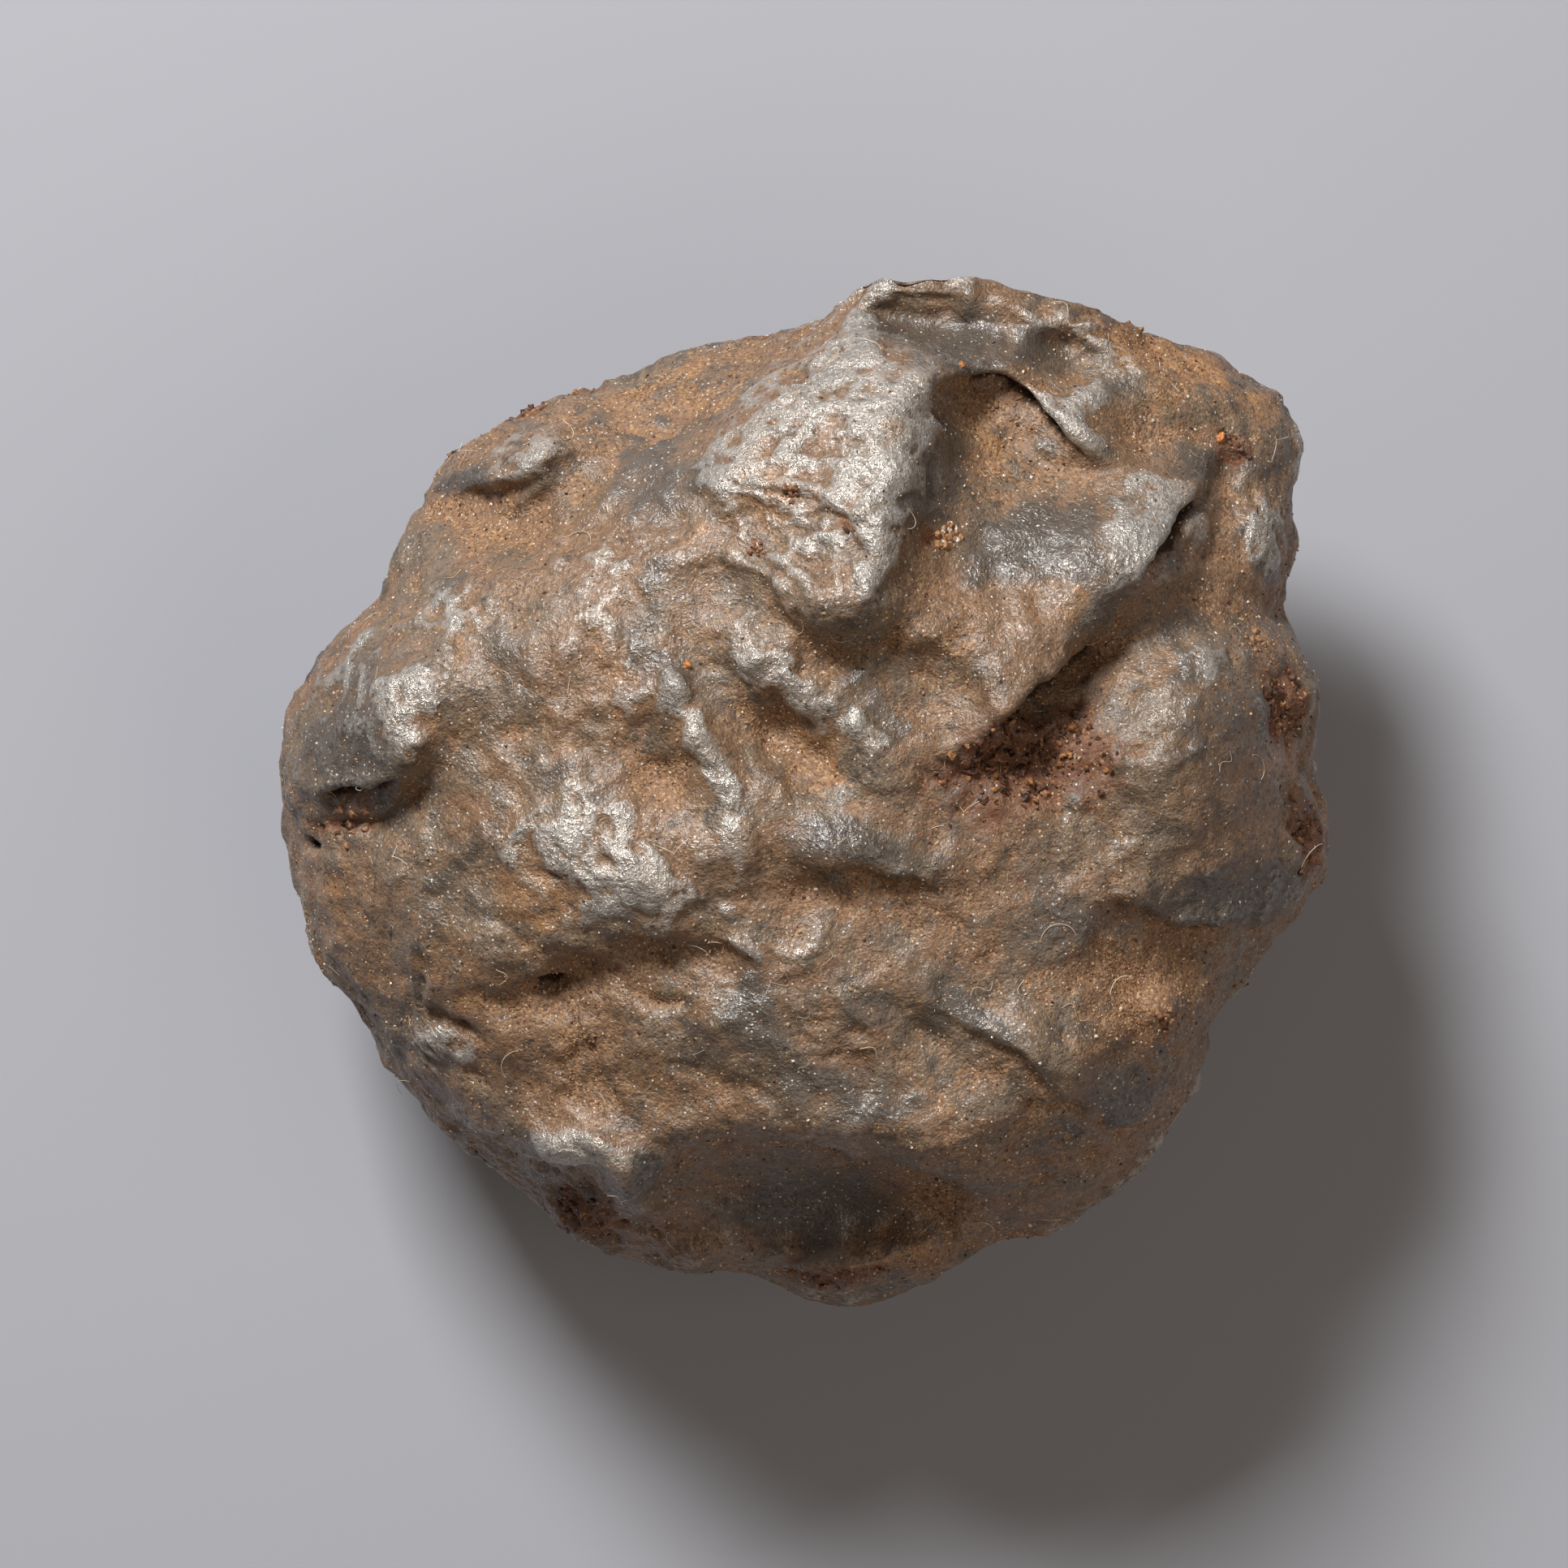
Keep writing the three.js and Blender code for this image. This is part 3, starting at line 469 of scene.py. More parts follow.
def along_line(points, line):
    """Distance of each point from a line of (x, y) points, seen from above, and how much of
    the line is left there, from 0 at its ends to 1 at its middle."""
    line = np.array(line)
    lengths = np.linalg.norm(np.diff(line, axis=0), axis=1)
    best = np.full(len(points), np.inf)
    share = np.zeros(len(points))
    for index, (start, end) in enumerate(zip(line, line[1:])):
        run = end - start
        away = points[:, :2] - start
        along = np.clip(away @ run / (run @ run), 0, 1)
        distance = np.linalg.norm(away - along[:, None] * run, axis=1)
        nearer = distance < best
        best[nearer] = distance[nearer]
        share[nearer] = (lengths[:index].sum() + along[nearer] * lengths[index]) / lengths.sum()
    return best, np.sin(math.pi * share) ** 0.6


def smoothstep(value, low, high):
    share = np.clip((value - low) / (high - low), 0, 1)
    return share * share * (3 - 2 * share)


# Widths and spacings of the relief, in millimetres.
WARP_WIDTH = 5.0  # of the swells that bend every pattern out of true
SWELL_WIDTH = 5.0
BOWL_WIDTHS = (3.6, 2.0)
WRINKLE_WIDTHS = (1.4, 0.8)
WRINKLE_STRETCH = 1.9
WRINKLE_LEAN = (0.86, 0.5)  # cosine and sine of the way that the wrinkles run
GRIT_WIDTH = 1.6
LUMP_SPACING = 1.0
FLAKE_WIDTH = 4.2
PIT_SPACING = 2.9
HOLE_SPACING = 1.5
CRUMBLE_SPACING = 1.1
RAGGED_WIDTH = 1.3  # of the ragged stretches along a crack

FLAT_BELOW = 0.02  # height under which the skin lies flat on the resting spot
FINE_ROUNDS = 14  # of smoothing, to find the small crests and hollows
WIDE_ROUNDS = 90  # of smoothing, to find the large ones
FIBRE_ROOM = 1.6  # how far inside the solid's box a fibre has to lie
GOLDEN_ANGLE = math.pi * (3 - math.sqrt(5))


class Skin:
    """A closed triangle mesh held as arrays: points in millimetres, and triangles."""

    def __init__(self, points, triangles):
        self.points = points
        self.triangles = triangles
        pairs = np.concatenate([triangles[:, [0, 1]], triangles[:, [1, 2]], triangles[:, [2, 0]]])
        opposite = np.concatenate([triangles[:, 2], triangles[:, 0], triangles[:, 1]])
        self.edges, self.edge_of_side = np.unique(np.sort(pairs, 1), axis=0, return_inverse=True)
        self.edge_of_side = self.edge_of_side.ravel()
        self.opposite_sum = np.zeros((len(self.edges), 3))
        np.add.at(self.opposite_sum, self.edge_of_side, points[opposite])
        self.neighbours = np.bincount(self.edges.ravel(), minlength=len(points))

    def around(self, values):
        """Mean of each point's neighbours."""
        one, two = self.edges.T
        count = len(self.points)
        columns = values.reshape(count, -1).T
        sums = [
            np.bincount(one, column[two], count) + np.bincount(two, column[one], count)
            for column in columns
        ]
        return (np.array(sums) / self.neighbours).T.reshape(values.shape)

    def smoothed(self, values, times):
        for _ in range(times):
            values = 0.5 * values + 0.5 * self.around(values)
        return values

    def cut_in_four(self):
        """The same surface with each triangle cut in four and rounded, by Loop's rule."""
        middle = self.points[self.edges].sum(1) * 3 / 8 + self.opposite_sum / 8
        pull = np.where(self.neighbours > 3, 3 / 8, 9 / 16)[:, None]
        corner = (1 - pull) * self.points + pull * self.around(self.points)
        a, b, c = self.triangles.T
        ab, bc, ca = self.edge_of_side.reshape(3, -1) + len(self.points)
        fours = [(a, ab, ca), (ab, b, bc), (ca, bc, c), (ab, bc, ca)]
        triangles = np.concatenate([np.stack(four, 1) for four in fours])
        return Skin(np.concatenate([corner, middle]), triangles)

    def normals(self):
        a, b, c = (self.points[self.triangles[:, i]] for i in range(3))
        faces = np.cross(b - a, c - a)
        total = np.zeros_like(self.points)
        for i in range(3):
            np.add.at(total, self.triangles[:, i], faces)
        return total / np.linalg.norm(total, axis=1)[:, None]


def skin_of(node, cuts):
    """The solid's surface, merged and cut finer."""
    mesh = node.data
    points = np.empty(len(mesh.vertices) * 3)
    mesh.vertices.foreach_get("co", points)
    mesh.calc_loop_triangles()
    triangles = np.empty(len(mesh.loop_triangles) * 3, dtype=np.int32)
    mesh.loop_triangles.foreach_get("vertices", triangles)
    points = points.reshape(-1, 3) / MM
    _, first, same = np.unique(
        np.round(points * 1e4).astype(np.int64), axis=0, return_index=True, return_inverse=True
    )
    triangles = same.ravel()[triangles].reshape(-1, 3)
    whole = (triangles != np.roll(triangles, 1, axis=1)).all(1)
    skin = Skin(points[first], triangles[whole])
    for _ in range(cuts):
        skin = skin.cut_in_four()
    return skin


def shape_skin(skin, sizes):
    """Raises and lowers the skin, and returns it with the marks that each point bears."""
    base = skin.points
    facing = skin.normals()
    on_face = smoothstep(facing[:, 2], 0.05, 0.45)
    warp = np.stack([fractal(base, WARP_WIDTH, 2, seed) for seed in (11, 23, 37)], 1)
    bent = base + 1.3 * warp
    crooked = base + 0.35 * np.roll(warp, 1, axis=1)

    # Worn patches: real wear, and partly painted highlight where highlights fall.
    worn = in_patches(bent, WORN_AND_HIGHLIGHT_PATCHES) * on_face
    soil = in_patches(bent, SOIL_AND_REFLECTION_PATCHES) * on_face
    rust = in_patches(bent, RUST_PATCHES) * on_face
    # Magnetite patches: dark crust, and partly painted shade where shade falls.
    slate = in_patches(bent, SLATE_AND_SHADE_PATCHES) * on_face
    stain = in_patches(bent, STAIN_PATCHES) * on_face
    pile = in_patches(crooked, PILES) * on_face
    side = 1 - on_face
    slate = np.maximum(slate, 0.6 * smoothstep(fractal(bent, 6.0, 3, 73), 0.15, 0.7))
    stain = np.maximum(stain, 0.6 * smoothstep(fractal(bent, 7.0, 3, 79), 0.15, 0.7))
    soil = np.maximum(soil, side * smoothstep(fractal(base, 9.0, 3, 61), -0.1, 0.5) * 0.8)
    rust = np.maximum(rust, side * smoothstep(fractal(base, 7.0, 3, 67), 0.1, 0.6) * 0.7)
    worn = np.maximum(worn, side * smoothstep(fractal(base, 8.0, 2, 71), 0.0, 0.6) * 0.6)

    rough = 1 - 0.7 * in_patches(bent, SMOOTH_PATCHES) * on_face
    low = rough * fractal(bent, SWELL_WIDTH, 2, 101)
    bowls = nearest_cell(bent, BOWL_WIDTHS[0], 111) ** 2
    bowls += 0.4 * nearest_cell(bent, BOWL_WIDTHS[1], 113) ** 2
    x, y, z = bent.T
    cos, sin = WRINKLE_LEAN
    turned = np.stack([(x * cos - y * sin) / WRINKLE_STRETCH, x * sin + y * cos, z], 1)
    ridges = 1 - np.abs(swells(turned, WRINKLE_WIDTHS[0], 131)) * 2.4
    ridges += 0.7 * (1 - np.abs(swells(turned, WRINKLE_WIDTHS[1], 137)) * 2.4)
    fine = fractal(bent, GRIT_WIDTH, 2, 151) + 0.7 * (nearest_cell(bent, LUMP_SPACING, 157) - 0.5)
    steps = np.tanh(7 * (fractal(bent, FLAKE_WIDTH, 3, 171) - 0.12))
    pits = np.exp(-((nearest_cell(bent, PIT_SPACING, 191) / 0.24) ** 2))
    holes = np.exp(-((nearest_cell(bent, HOLE_SPACING, 197) / 0.3) ** 2))
    crumble = nearest_cell(base, CRUMBLE_SPACING, 211)

    height = sizes.swell / MM * low
    height += sizes.bowl / MM * rough * (bowls - 0.45) * (1 - 0.4 * soil)
    height += sizes.wrinkle / MM * (0.12 + 1.05 * worn) * (ridges - 0.8)
    height += sizes.grit / MM * fine
    height += sizes.flake / MM * steps
    height -= sizes.pit / MM * (0.5 + rust) * pits
    height -= (0.08 * soil + 0.60 * rust) * holes
    height += 0.8 * rust * (0.5 - crumble)
    # Darkening of the pits, holes and crevices: dirt, and painted shade where shade falls in them.
    deep = 0.9 * (0.25 * soil + rust) * holes + 0.5 * rust * pits
    ragged = 0.5 + 0.5 * fractal(base, RAGGED_WIDTH, 2, 223)
    for line, depth, width in CREVICES:
        distance, left = along_line(crooked, line)
        off = distance / (width * (0.25 + 0.55 * left + 0.7 * ragged * left))
        here = on_face * depth * (0.35 + 0.9 * ragged) * left
        height -= here * np.exp(-(off**2))
        height += 0.15 * here * np.exp(-((off - 2.2) ** 2))
        deep = np.maximum(deep, smoothstep(here, 0.3, 1.2) * np.exp(-((1.3 * off) ** 2)))
    for (x, y), radius, rise in KNOBS:
        away = np.hypot(crooked[:, 0] - x, crooked[:, 1] - y) / radius
        height += on_face * rise * np.exp(-(away**2.4))

    above_rest = smoothstep(base[:, 2], FLAT_BELOW, 1.2)
    moved = base + facing * (height * above_rest)[:, None]
    low_corner, high_corner = (np.array(corner) / MM for corner in box_of_solid)
    moved = np.clip(moved, low_corner, high_corner)
    moved[base[:, 2] < FLAT_BELOW, 2] = 0.0
    shaped = Skin(moved, skin.triangles)

    out = np.sum((moved - skin.smoothed(moved, FINE_ROUNDS)) * facing, 1)
    wide = np.sum((moved - skin.smoothed(moved, WIDE_ROUNDS)) * facing, 1)
    crest = smoothstep(out, 0.0, 0.11) * 0.6 + smoothstep(wide, 0.0, 0.5) * 0.4
    hollow = smoothstep(-out, 0.0, 0.12) * 0.6 + smoothstep(-wide, 0.0, 0.6) * 0.5
    # Bright metal on the worn crests; its lighter colour is partly painted highlight.
    bare_and_highlight = np.clip(worn * (0.6 + 0.8 * crest) + 0.4 * crest * (1 - soil) - 0.5 * hollow, 0, 1)
    dust = np.clip(soil * (0.6 + 0.5 * hollow) + 0.55 * hollow * (1 - 0.6 * worn), 0, 1)
    dust = np.maximum(dust, 0.8 * pile)
    slate = np.clip(slate * (0.9 + 0.3 * crest) - 0.1 * hollow, 0, 1)
    dust *= 1 - 0.9 * slate
    rust = np.clip(rust + 0.15 * hollow, 0, 1)
    room = np.minimum(moved - low_corner, high_corner - moved).min(1)
    inside = smoothstep(room, 0.25, 0.6)
    return shaped, {
        "bare_and_highlight": bare_and_highlight,
        "dust": dust,
        "rust": rust,
        "slate": slate,
        "stain": stain,
        "deep": np.clip(deep, 0, 1),
        "grain": inside * (0.10 + 0.9 * dust**1.5),
        "pile": inside * pile**1.5,
        "crumb": inside * smoothstep(rust, 0.45, 0.95),
        "fibre": on_face * smoothstep(room, FIBRE_ROOM, FIBRE_ROOM + 0.5),
    }


def to_object(name, skin, marks):
    """A mesh object from a skin, with its marks as attributes of its points."""
    mesh = bpy.data.meshes.new(name)
    mesh.vertices.add(len(skin.points))
    mesh.vertices.foreach_set("co", (skin.points * MM).ravel())
    mesh.loops.add(len(skin.triangles) * 3)
    mesh.loops.foreach_set("vertex_index", skin.triangles.ravel().astype(np.int32))
    mesh.polygons.add(len(skin.triangles))
    mesh.polygons.foreach_set("loop_start", np.arange(0, len(skin.triangles) * 3, 3, dtype=np.int32))
    mesh.update(calc_edges=True)
    mesh.polygons.foreach_set("use_smooth", np.ones(len(skin.triangles), dtype=bool))
    for mark, values in marks.items():
        mesh.attributes.new(mark, "FLOAT", "POINT").data.foreach_set("value", values)
    made = bpy.data.objects.new(name, mesh)
    bpy.context.scene.collection.objects.link(made)
    return made


def add_node(tree, kind, inputs=None, output=0, **settings):
    """Adds a node and gives the output of that name or number.

    inputs gives a socket, by name or number, a value or the socket that feeds it.
    """
    made = tree.nodes.new(kind)
    for name, value in settings.items():
        setattr(made, name, value)
    for socket, value in (inputs or {}).items():
        if isinstance(value, bpy.types.NodeSocket):
            tree.links.new(value, made.inputs[socket])
        else:
            made.inputs[socket].default_value = value
    return made.outputs[output] if made.outputs else None


def new_material(name):
    """A material with only its Principled shader, and its node tree."""
    material = bpy.data.materials.new(name)
    material.use_nodes = True
    return material, material.node_tree, material.node_tree.nodes["Principled BSDF"]


def per_metre(size):
    """Scale of a texture whose features are size millimetres across."""
    return 1 / (size * MM)


OXIDE_IOR = 1.8  # of a weathered, dusty skin of magnetite and goethite
METAL_IOR = 1.5  # the shader's own, which bare metal keeps

# Noise patterns of the crust: size in millimetres, detail, roughness, distortion. The real
# grit is finer than the last, which is as fine as shows.
PATTERNS = {
    "field": (6.0, 3, 0.55, 0.6),
    "blotch": (2.4, 6, 0.66, 0.4),
    "wrinkle": (0.85, 4, 0.60, 0.5),
    "speckle": (0.36, 3, 0.60, 0.2),
    "grit": (0.17, 2, 0.60, 0.0),
}

SPECK_SPACING = 0.34  # of specks on the crust, for mineral grains of a tenth of a millimetre, most too fine to show; the white specks are painted glints
SAND_SPACING = 0.16  # of the grains of dried soil, drawn a little coarser than they are

# How the marks of the skin are broken up: weight of the speckle and of the blotches in
# them, and the limits between which the sum goes from none to full.
MARKS = {
    "bare_and_highlight": (1.2, 0.8, 1.20, 2.05),
    "dust": (0.9, 1.2, 1.20, 2.00),
    "rust": (1.2, 1.0, 1.40, 2.00),
    "slate": (0.7, 1.2, 1.10, 1.75),
    "stain": (0.9, 1.4, 1.45, 2.20),
    "deep": (0.8, 0.0, 0.60, 1.10),
}

# What each mark makes of the crust's gloss, its shine and its metal, in the order in which
# they lie over each other: the shader's sockets, and their values for each.
FINISH_SOCKETS = ("Roughness", "Specular IOR Level", "Metallic", "IOR")
CRUST_FINISH = (0.38, 0.42, 0.0, OXIDE_IOR)
FINISHES = (
    ("slate", (0.30, 0.60, 0.0, OXIDE_IOR)),
    ("bare_and_highlight", (0.24, 1.00, 0.55, METAL_IOR)),
    ("sunk", (0.50, 0.35, 0.0, OXIDE_IOR)),
    ("dust", (0.62, 0.22, 0.0, OXIDE_IOR)),
    ("rust", (0.70, 0.22, 0.0, OXIDE_IOR)),
    ("deep", (0.90, 0.05, 0.0, OXIDE_IOR)),
)


def weathered_iron(colours):
    """Nickel-iron under a weathered oxide crust.

    Metal shows bright and glossy only on the worn ridges, and its lighter colour there is
    partly painted highlight. The crust between is brown or dark grey, waxy and rough with grit,
    so it glints in specks, and white specks of colour on it are painted glints. Its dark patches
    are partly painted shade; its creases and pits are darkened with dirt and painted shade, and
    the hollows of its fine relief with painted shade. Dried soil and rust over it are matt.
    """
    material, tree, shader = new_material("weathered nickel-iron")
    node = partial(add_node, tree)
    at = node("ShaderNodeTexCoord", output="Object")
    pattern = {}
    for name, (size, detail, rough, bend) in PATTERNS.items():
        kind = {"Scale": per_metre(size), "Detail": detail, "Roughness": rough, "Distortion": bend}
        pattern[name] = node("ShaderNodeTexNoise", {"Vector": at, **kind})
    mark = {}
    for name, (speckle, blotch, low, high) in MARKS.items():
        total = node("ShaderNodeAttribute", output="Fac", attribute_name=name)
        for weight, texture in ((speckle, "speckle"), (blotch, "blotch")):
            total = node(
                "ShaderNodeMath", {0: pattern[texture], 1: weight, 2: total}, operation="MULTIPLY_ADD"
            )
        mark[name] = node(
            "ShaderNodeMapRange", {0: total, 1: low, 2: high}, interpolation_type="SMOOTHSTEP"
        )

    mark["sunk"] = node(
        "ShaderNodeMapRange", {0: pattern["speckle"], 1: 0.53, 2: 0.42}, interpolation_type="SMOOTHSTEP"
    )
    smooth = node("ShaderNodeMath", {0: mark["slate"], 1: mark["bare_and_highlight"]}, operation="MAXIMUM")
    bound = node("ShaderNodeMapRange", {0: smooth, 3: 1.0, 4: 0.2})
    loose = node("ShaderNodeMapRange", {0: mark["dust"], 3: 0.45, 4: 1.0})
    mark["sandy"] = node("ShaderNodeMath", {0: bound, 1: loose}, operation="MULTIPLY")
    # Cells for the specks on the crust; the white specks are painted glints.
    grains = node("ShaderNodeTexVoronoi", {"Vector": at, "Scale": per_metre(SPECK_SPACING)})
    cells = grains.node.outputs
    mark["speck"] = node("ShaderNodeMapRange", {0: cells["Distance"], 1: 0.24, 2: 0.14})
    pick = node("ShaderNodeSeparateColor", {0: cells["Color"]}).node.outputs
    jumble = pattern["grit"].node.outputs["Color"]
    jumble = node("ShaderNodeVectorMath", {0: jumble, "Scale": SAND_SPACING * MM}, operation="SCALE")
    mixed = node("ShaderNodeVectorMath", {0: at, 1: jumble}, operation="ADD")
    sand = node("ShaderNodeTexVoronoi", {"Vector": mixed, "Scale": per_metre(SAND_SPACING)})
    pattern["sand"] = sand.node.outputs["Distance"]
    shade = node("ShaderNodeSeparateColor", {0: sand.node.outputs["Color"]}).node.outputs

    # Coats of colour from the bottom up: colour, strength, and the patterns and limits
    # that it shows between.
    coats = (
        (colours.patina, 1.0, ((pattern["field"], 0.42, 0.56),)),
        (colours.soil, 0.7, ((pattern["blotch"], 0.50, 0.66),)),
        (colours.slate, 0.8, ((pattern["blotch"], 0.48, 0.34),)),
        # Magnetite patches: dark crust, and partly painted shade.
        (colours.slate, 0.95, ((mark["slate"], 0.0, 1.0),)),
        # Darker where the wrinkles' bump sinks: painted shade in their hollows.
        (colours.dark, 0.4, ((pattern["wrinkle"], 0.48, 0.32),)),
        # Bright metal on the worn crests, partly painted highlight.
        (colours.iron, 0.7, ((mark["bare_and_highlight"], 0.0, 1.0),)),
        (colours.soil, 0.85, ((mark["dust"], 0.0, 1.0),)),
        (colours.ochre, 0.55, ((mark["stain"], 0.0, 1.0),)),
        (colours.rust, 0.85, ((mark["rust"], 0.0, 1.0),)),
        (colours.grain, 0.55, ((mark["sandy"], 0.0, 1.0), (shade["Red"], 0.70, 0.95))),
        (colours.dark, 0.55, ((mark["sandy"], 0.0, 1.0), (shade["Green"], 0.60, 0.95))),
        # Darker where the speckle bump sinks: painted shade in its small hollows.
        (colours.dark, 0.5, ((pattern["speckle"], 0.45, 0.32),)),
        # White specks: painted glints.
        (colours.lint, 0.8, ((mark["speck"], 0.0, 1.0), (pick["Red"], 0.66, 0.76))),
        (colours.dark, 0.7, ((mark["speck"], 0.0, 1.0), (pick["Green"], 0.74, 0.84))),
        (colours.orange, 0.8, ((mark["speck"], 0.0, 1.0), (pick["Blue"], 0.97, 0.98))),
        # Dark in the pits, holes and crevices: dirt and painted shade.
        (colours.dark, 0.95, ((mark["deep"], 0.0, 1.0),)),
    )
    colour = (*colours.crust, 1)
    for over, strength, limits in coats:
        share = strength
        for texture, low, high in limits:
            rise = node(
                "ShaderNodeMapRange", {0: texture, 1: low, 2: high}, interpolation_type="SMOOTHSTEP"
            )
            share = node("ShaderNodeMath", {0: rise, 1: share}, operation="MULTIPLY")
        colour = node(
            "ShaderNodeMix", {0: share, 6: colour, 7: (*over, 1)}, output=2, data_type="RGBA"
        )
    tree.links.new(colour, shader.inputs["Base Color"])

    for place, socket in enumerate(FINISH_SOCKETS):
        value = CRUST_FINISH[place]
        for name, finish in FINISHES:
            value = node("ShaderNodeMix", {0: mark[name], 2: value, 3: finish[place]})
        tree.links.new(value, shader.inputs[socket])

    # The fine relief: pattern, depth in millimetres, and how much of it there is where its
    # mark is empty and where it is full.
    relief = {}
    for texture, depth, name, empty, full in (
        ("wrinkle", 0.18, "bare_and_highlight", 0.8, 1.0),
        ("speckle", 0.19, "bare_and_highlight", 0.65, 1.0),
        ("sand", -0.04, "sandy", 0.0, 1.0),
        ("grit", 0.07, "bare_and_highlight", 0.8, 1.0),
    ):
        strength = node("ShaderNodeMapRange", {0: mark[name], 3: empty, 4: full})
        heights = {"Height": pattern[texture], "Distance": depth * MM, "Strength": strength}
        relief["Normal"] = node("ShaderNodeBump", {**heights, **relief})
    tree.links.new(relief["Normal"], shader.inputs["Normal"])
    return material


def loose_material(name, colour, darker, roughness, grit):
    """What grains, crumbs and lint are made of: darker in patches grit millimetres across."""
    material, tree, shader = new_material(name)
    node = partial(add_node, tree)
    at = node("ShaderNodeTexCoord", output="Object")
    patches = node("ShaderNodeTexNoise", {"Vector": at, "Scale": per_metre(grit), "Detail": 3.0})
    share = node("ShaderNodeMapRange", {0: patches, 1: 0.38, 2: 0.62})
    mixed = node(
        "ShaderNodeMix",
        {0: share, 6: (*darker, 1), 7: (*colour, 1)},
        output=2,
        data_type="RGBA",
    )
    tree.links.new(mixed, shader.inputs["Base Color"])
    shader.inputs["Roughness"].default_value = roughness
    bump = node("ShaderNodeBump", {"Height": patches, "Distance": 0.1 * grit * MM})
    tree.links.new(bump, shader.inputs["Normal"])
    return material


def new_scatter(name, numbers):
    """A geometry tree with a skin, named numbers and a material going in."""
    tree = bpy.data.node_groups.new(name, "GeometryNodeTree")
    sockets = [("Skin", "INPUT", "Geometry"), ("Material", "INPUT", "Material")]
    sockets += [(number, "INPUT", kind) for number, kind in numbers.items()]
    for label, way, kind in (*sockets, ("Result", "OUTPUT", "Geometry")):
        tree.interface.new_socket(label, in_out=way, socket_type="NodeSocket" + kind)
    return tree, add_node(tree, "NodeGroupInput").node.outputs


def scattered_points(tree, given, mask):
    """Points scattered over the skin as thickly as its mask says, and which way is up there."""
    node = partial(add_node, tree)
    share = node("GeometryNodeInputNamedAttribute", {"Name": mask}, data_type="FLOAT")
    density = node("ShaderNodeMath", {0: given["Density"], 1: share}, operation="MULTIPLY")
    return node(
        "GeometryNodeDistributePointsOnFaces",
        {"Mesh": given["Skin"], "Density": density, "Seed": given["Seed"]},
    ).node.outputs


def end_scatter(tree, given, instances):
    """Makes the scattered instances real, in their material."""
    real = add_node(tree, "GeometryNodeRealizeInstances", {0: instances})
    done = add_node(tree, "GeometryNodeSetMaterial", {0: real, "Material": given["Material"]})
    add_node(tree, "NodeGroupOutput", {0: done})
    return tree


def grain_scatter(mask, cuts):
    """A tree that scatters lumpy grains, mostly small ones."""
    numbers = {"Density": "Float", "Smallest": "Float", "Largest": "Float", "Seed": "Int"}
    tree, given = new_scatter("grains on " + mask, numbers)
    node = partial(add_node, tree)
    points = scattered_points(tree, given, mask)
    ball = node("GeometryNodeMeshIcoSphere", {"Radius": 0.5, "Subdivisions": cuts})
    lumps = node("ShaderNodeTexNoise", {"Scale": 1.7, "Detail": 1.0}, output="Color")
    push = node("ShaderNodeVectorMath", {0: lumps, 1: (0.5, 0.5, 0.5)}, operation="SUBTRACT")
    grain = node("GeometryNodeSetPosition", {"Geometry": ball, "Offset": push})
    chance = node("FunctionNodeRandomValue", {2: 0.0, 3: 1.0, "Seed": given["Seed"]}, output=1)
    rare = node("ShaderNodeMath", {0: chance, 1: 3.0}, operation="POWER")
    size = node("ShaderNodeMapRange", {0: rare, 3: given["Smallest"], 4: given["Largest"]})
    squash = node(
        "FunctionNodeRandomValue",
        {0: (0.6, 0.6, 0.5), 1: (1.2, 1.2, 0.9), "Seed": given["Seed"]},
        data_type="FLOAT_VECTOR",
    )
    scale = node("ShaderNodeVectorMath", {0: squash, "Scale": size}, operation="SCALE")
    turn = node(
        "FunctionNodeRandomValue",
        {0: (0, 0, 0), 1: (2 * math.pi, 2 * math.pi, 2 * math.pi), "Seed": given["Seed"]},
        data_type="FLOAT_VECTOR",
    )
    turned = node("FunctionNodeEulerToRotation", {0: turn})
    lying = node(
        "GeometryNodeInstanceOnPoints",
        {"Points": points["Points"], "Instance": grain, "Rotation": turned, "Scale": scale},
    )
    return end_scatter(tree, given, lying)


# Ways that a lint fibre bends, as the handles of a curve from (0, 0, 0) to (1, 0, 0).
FIBRE_BENDS = [
    ((0.2, 0.6, 0.05), (0.9, 0.5, 0.10)),
    ((0.5, 0.8, 0.12), (0.4, -0.7, 0.05)),
    ((0.1, -0.3, 0.06), (0.7, -0.5, 0.03)),
    ((0.9, 0.5, 0.15), (0.0, 0.6, 0.08)),
]
FIBRE_STEPS = 10
FIBRE_SIDES = 4


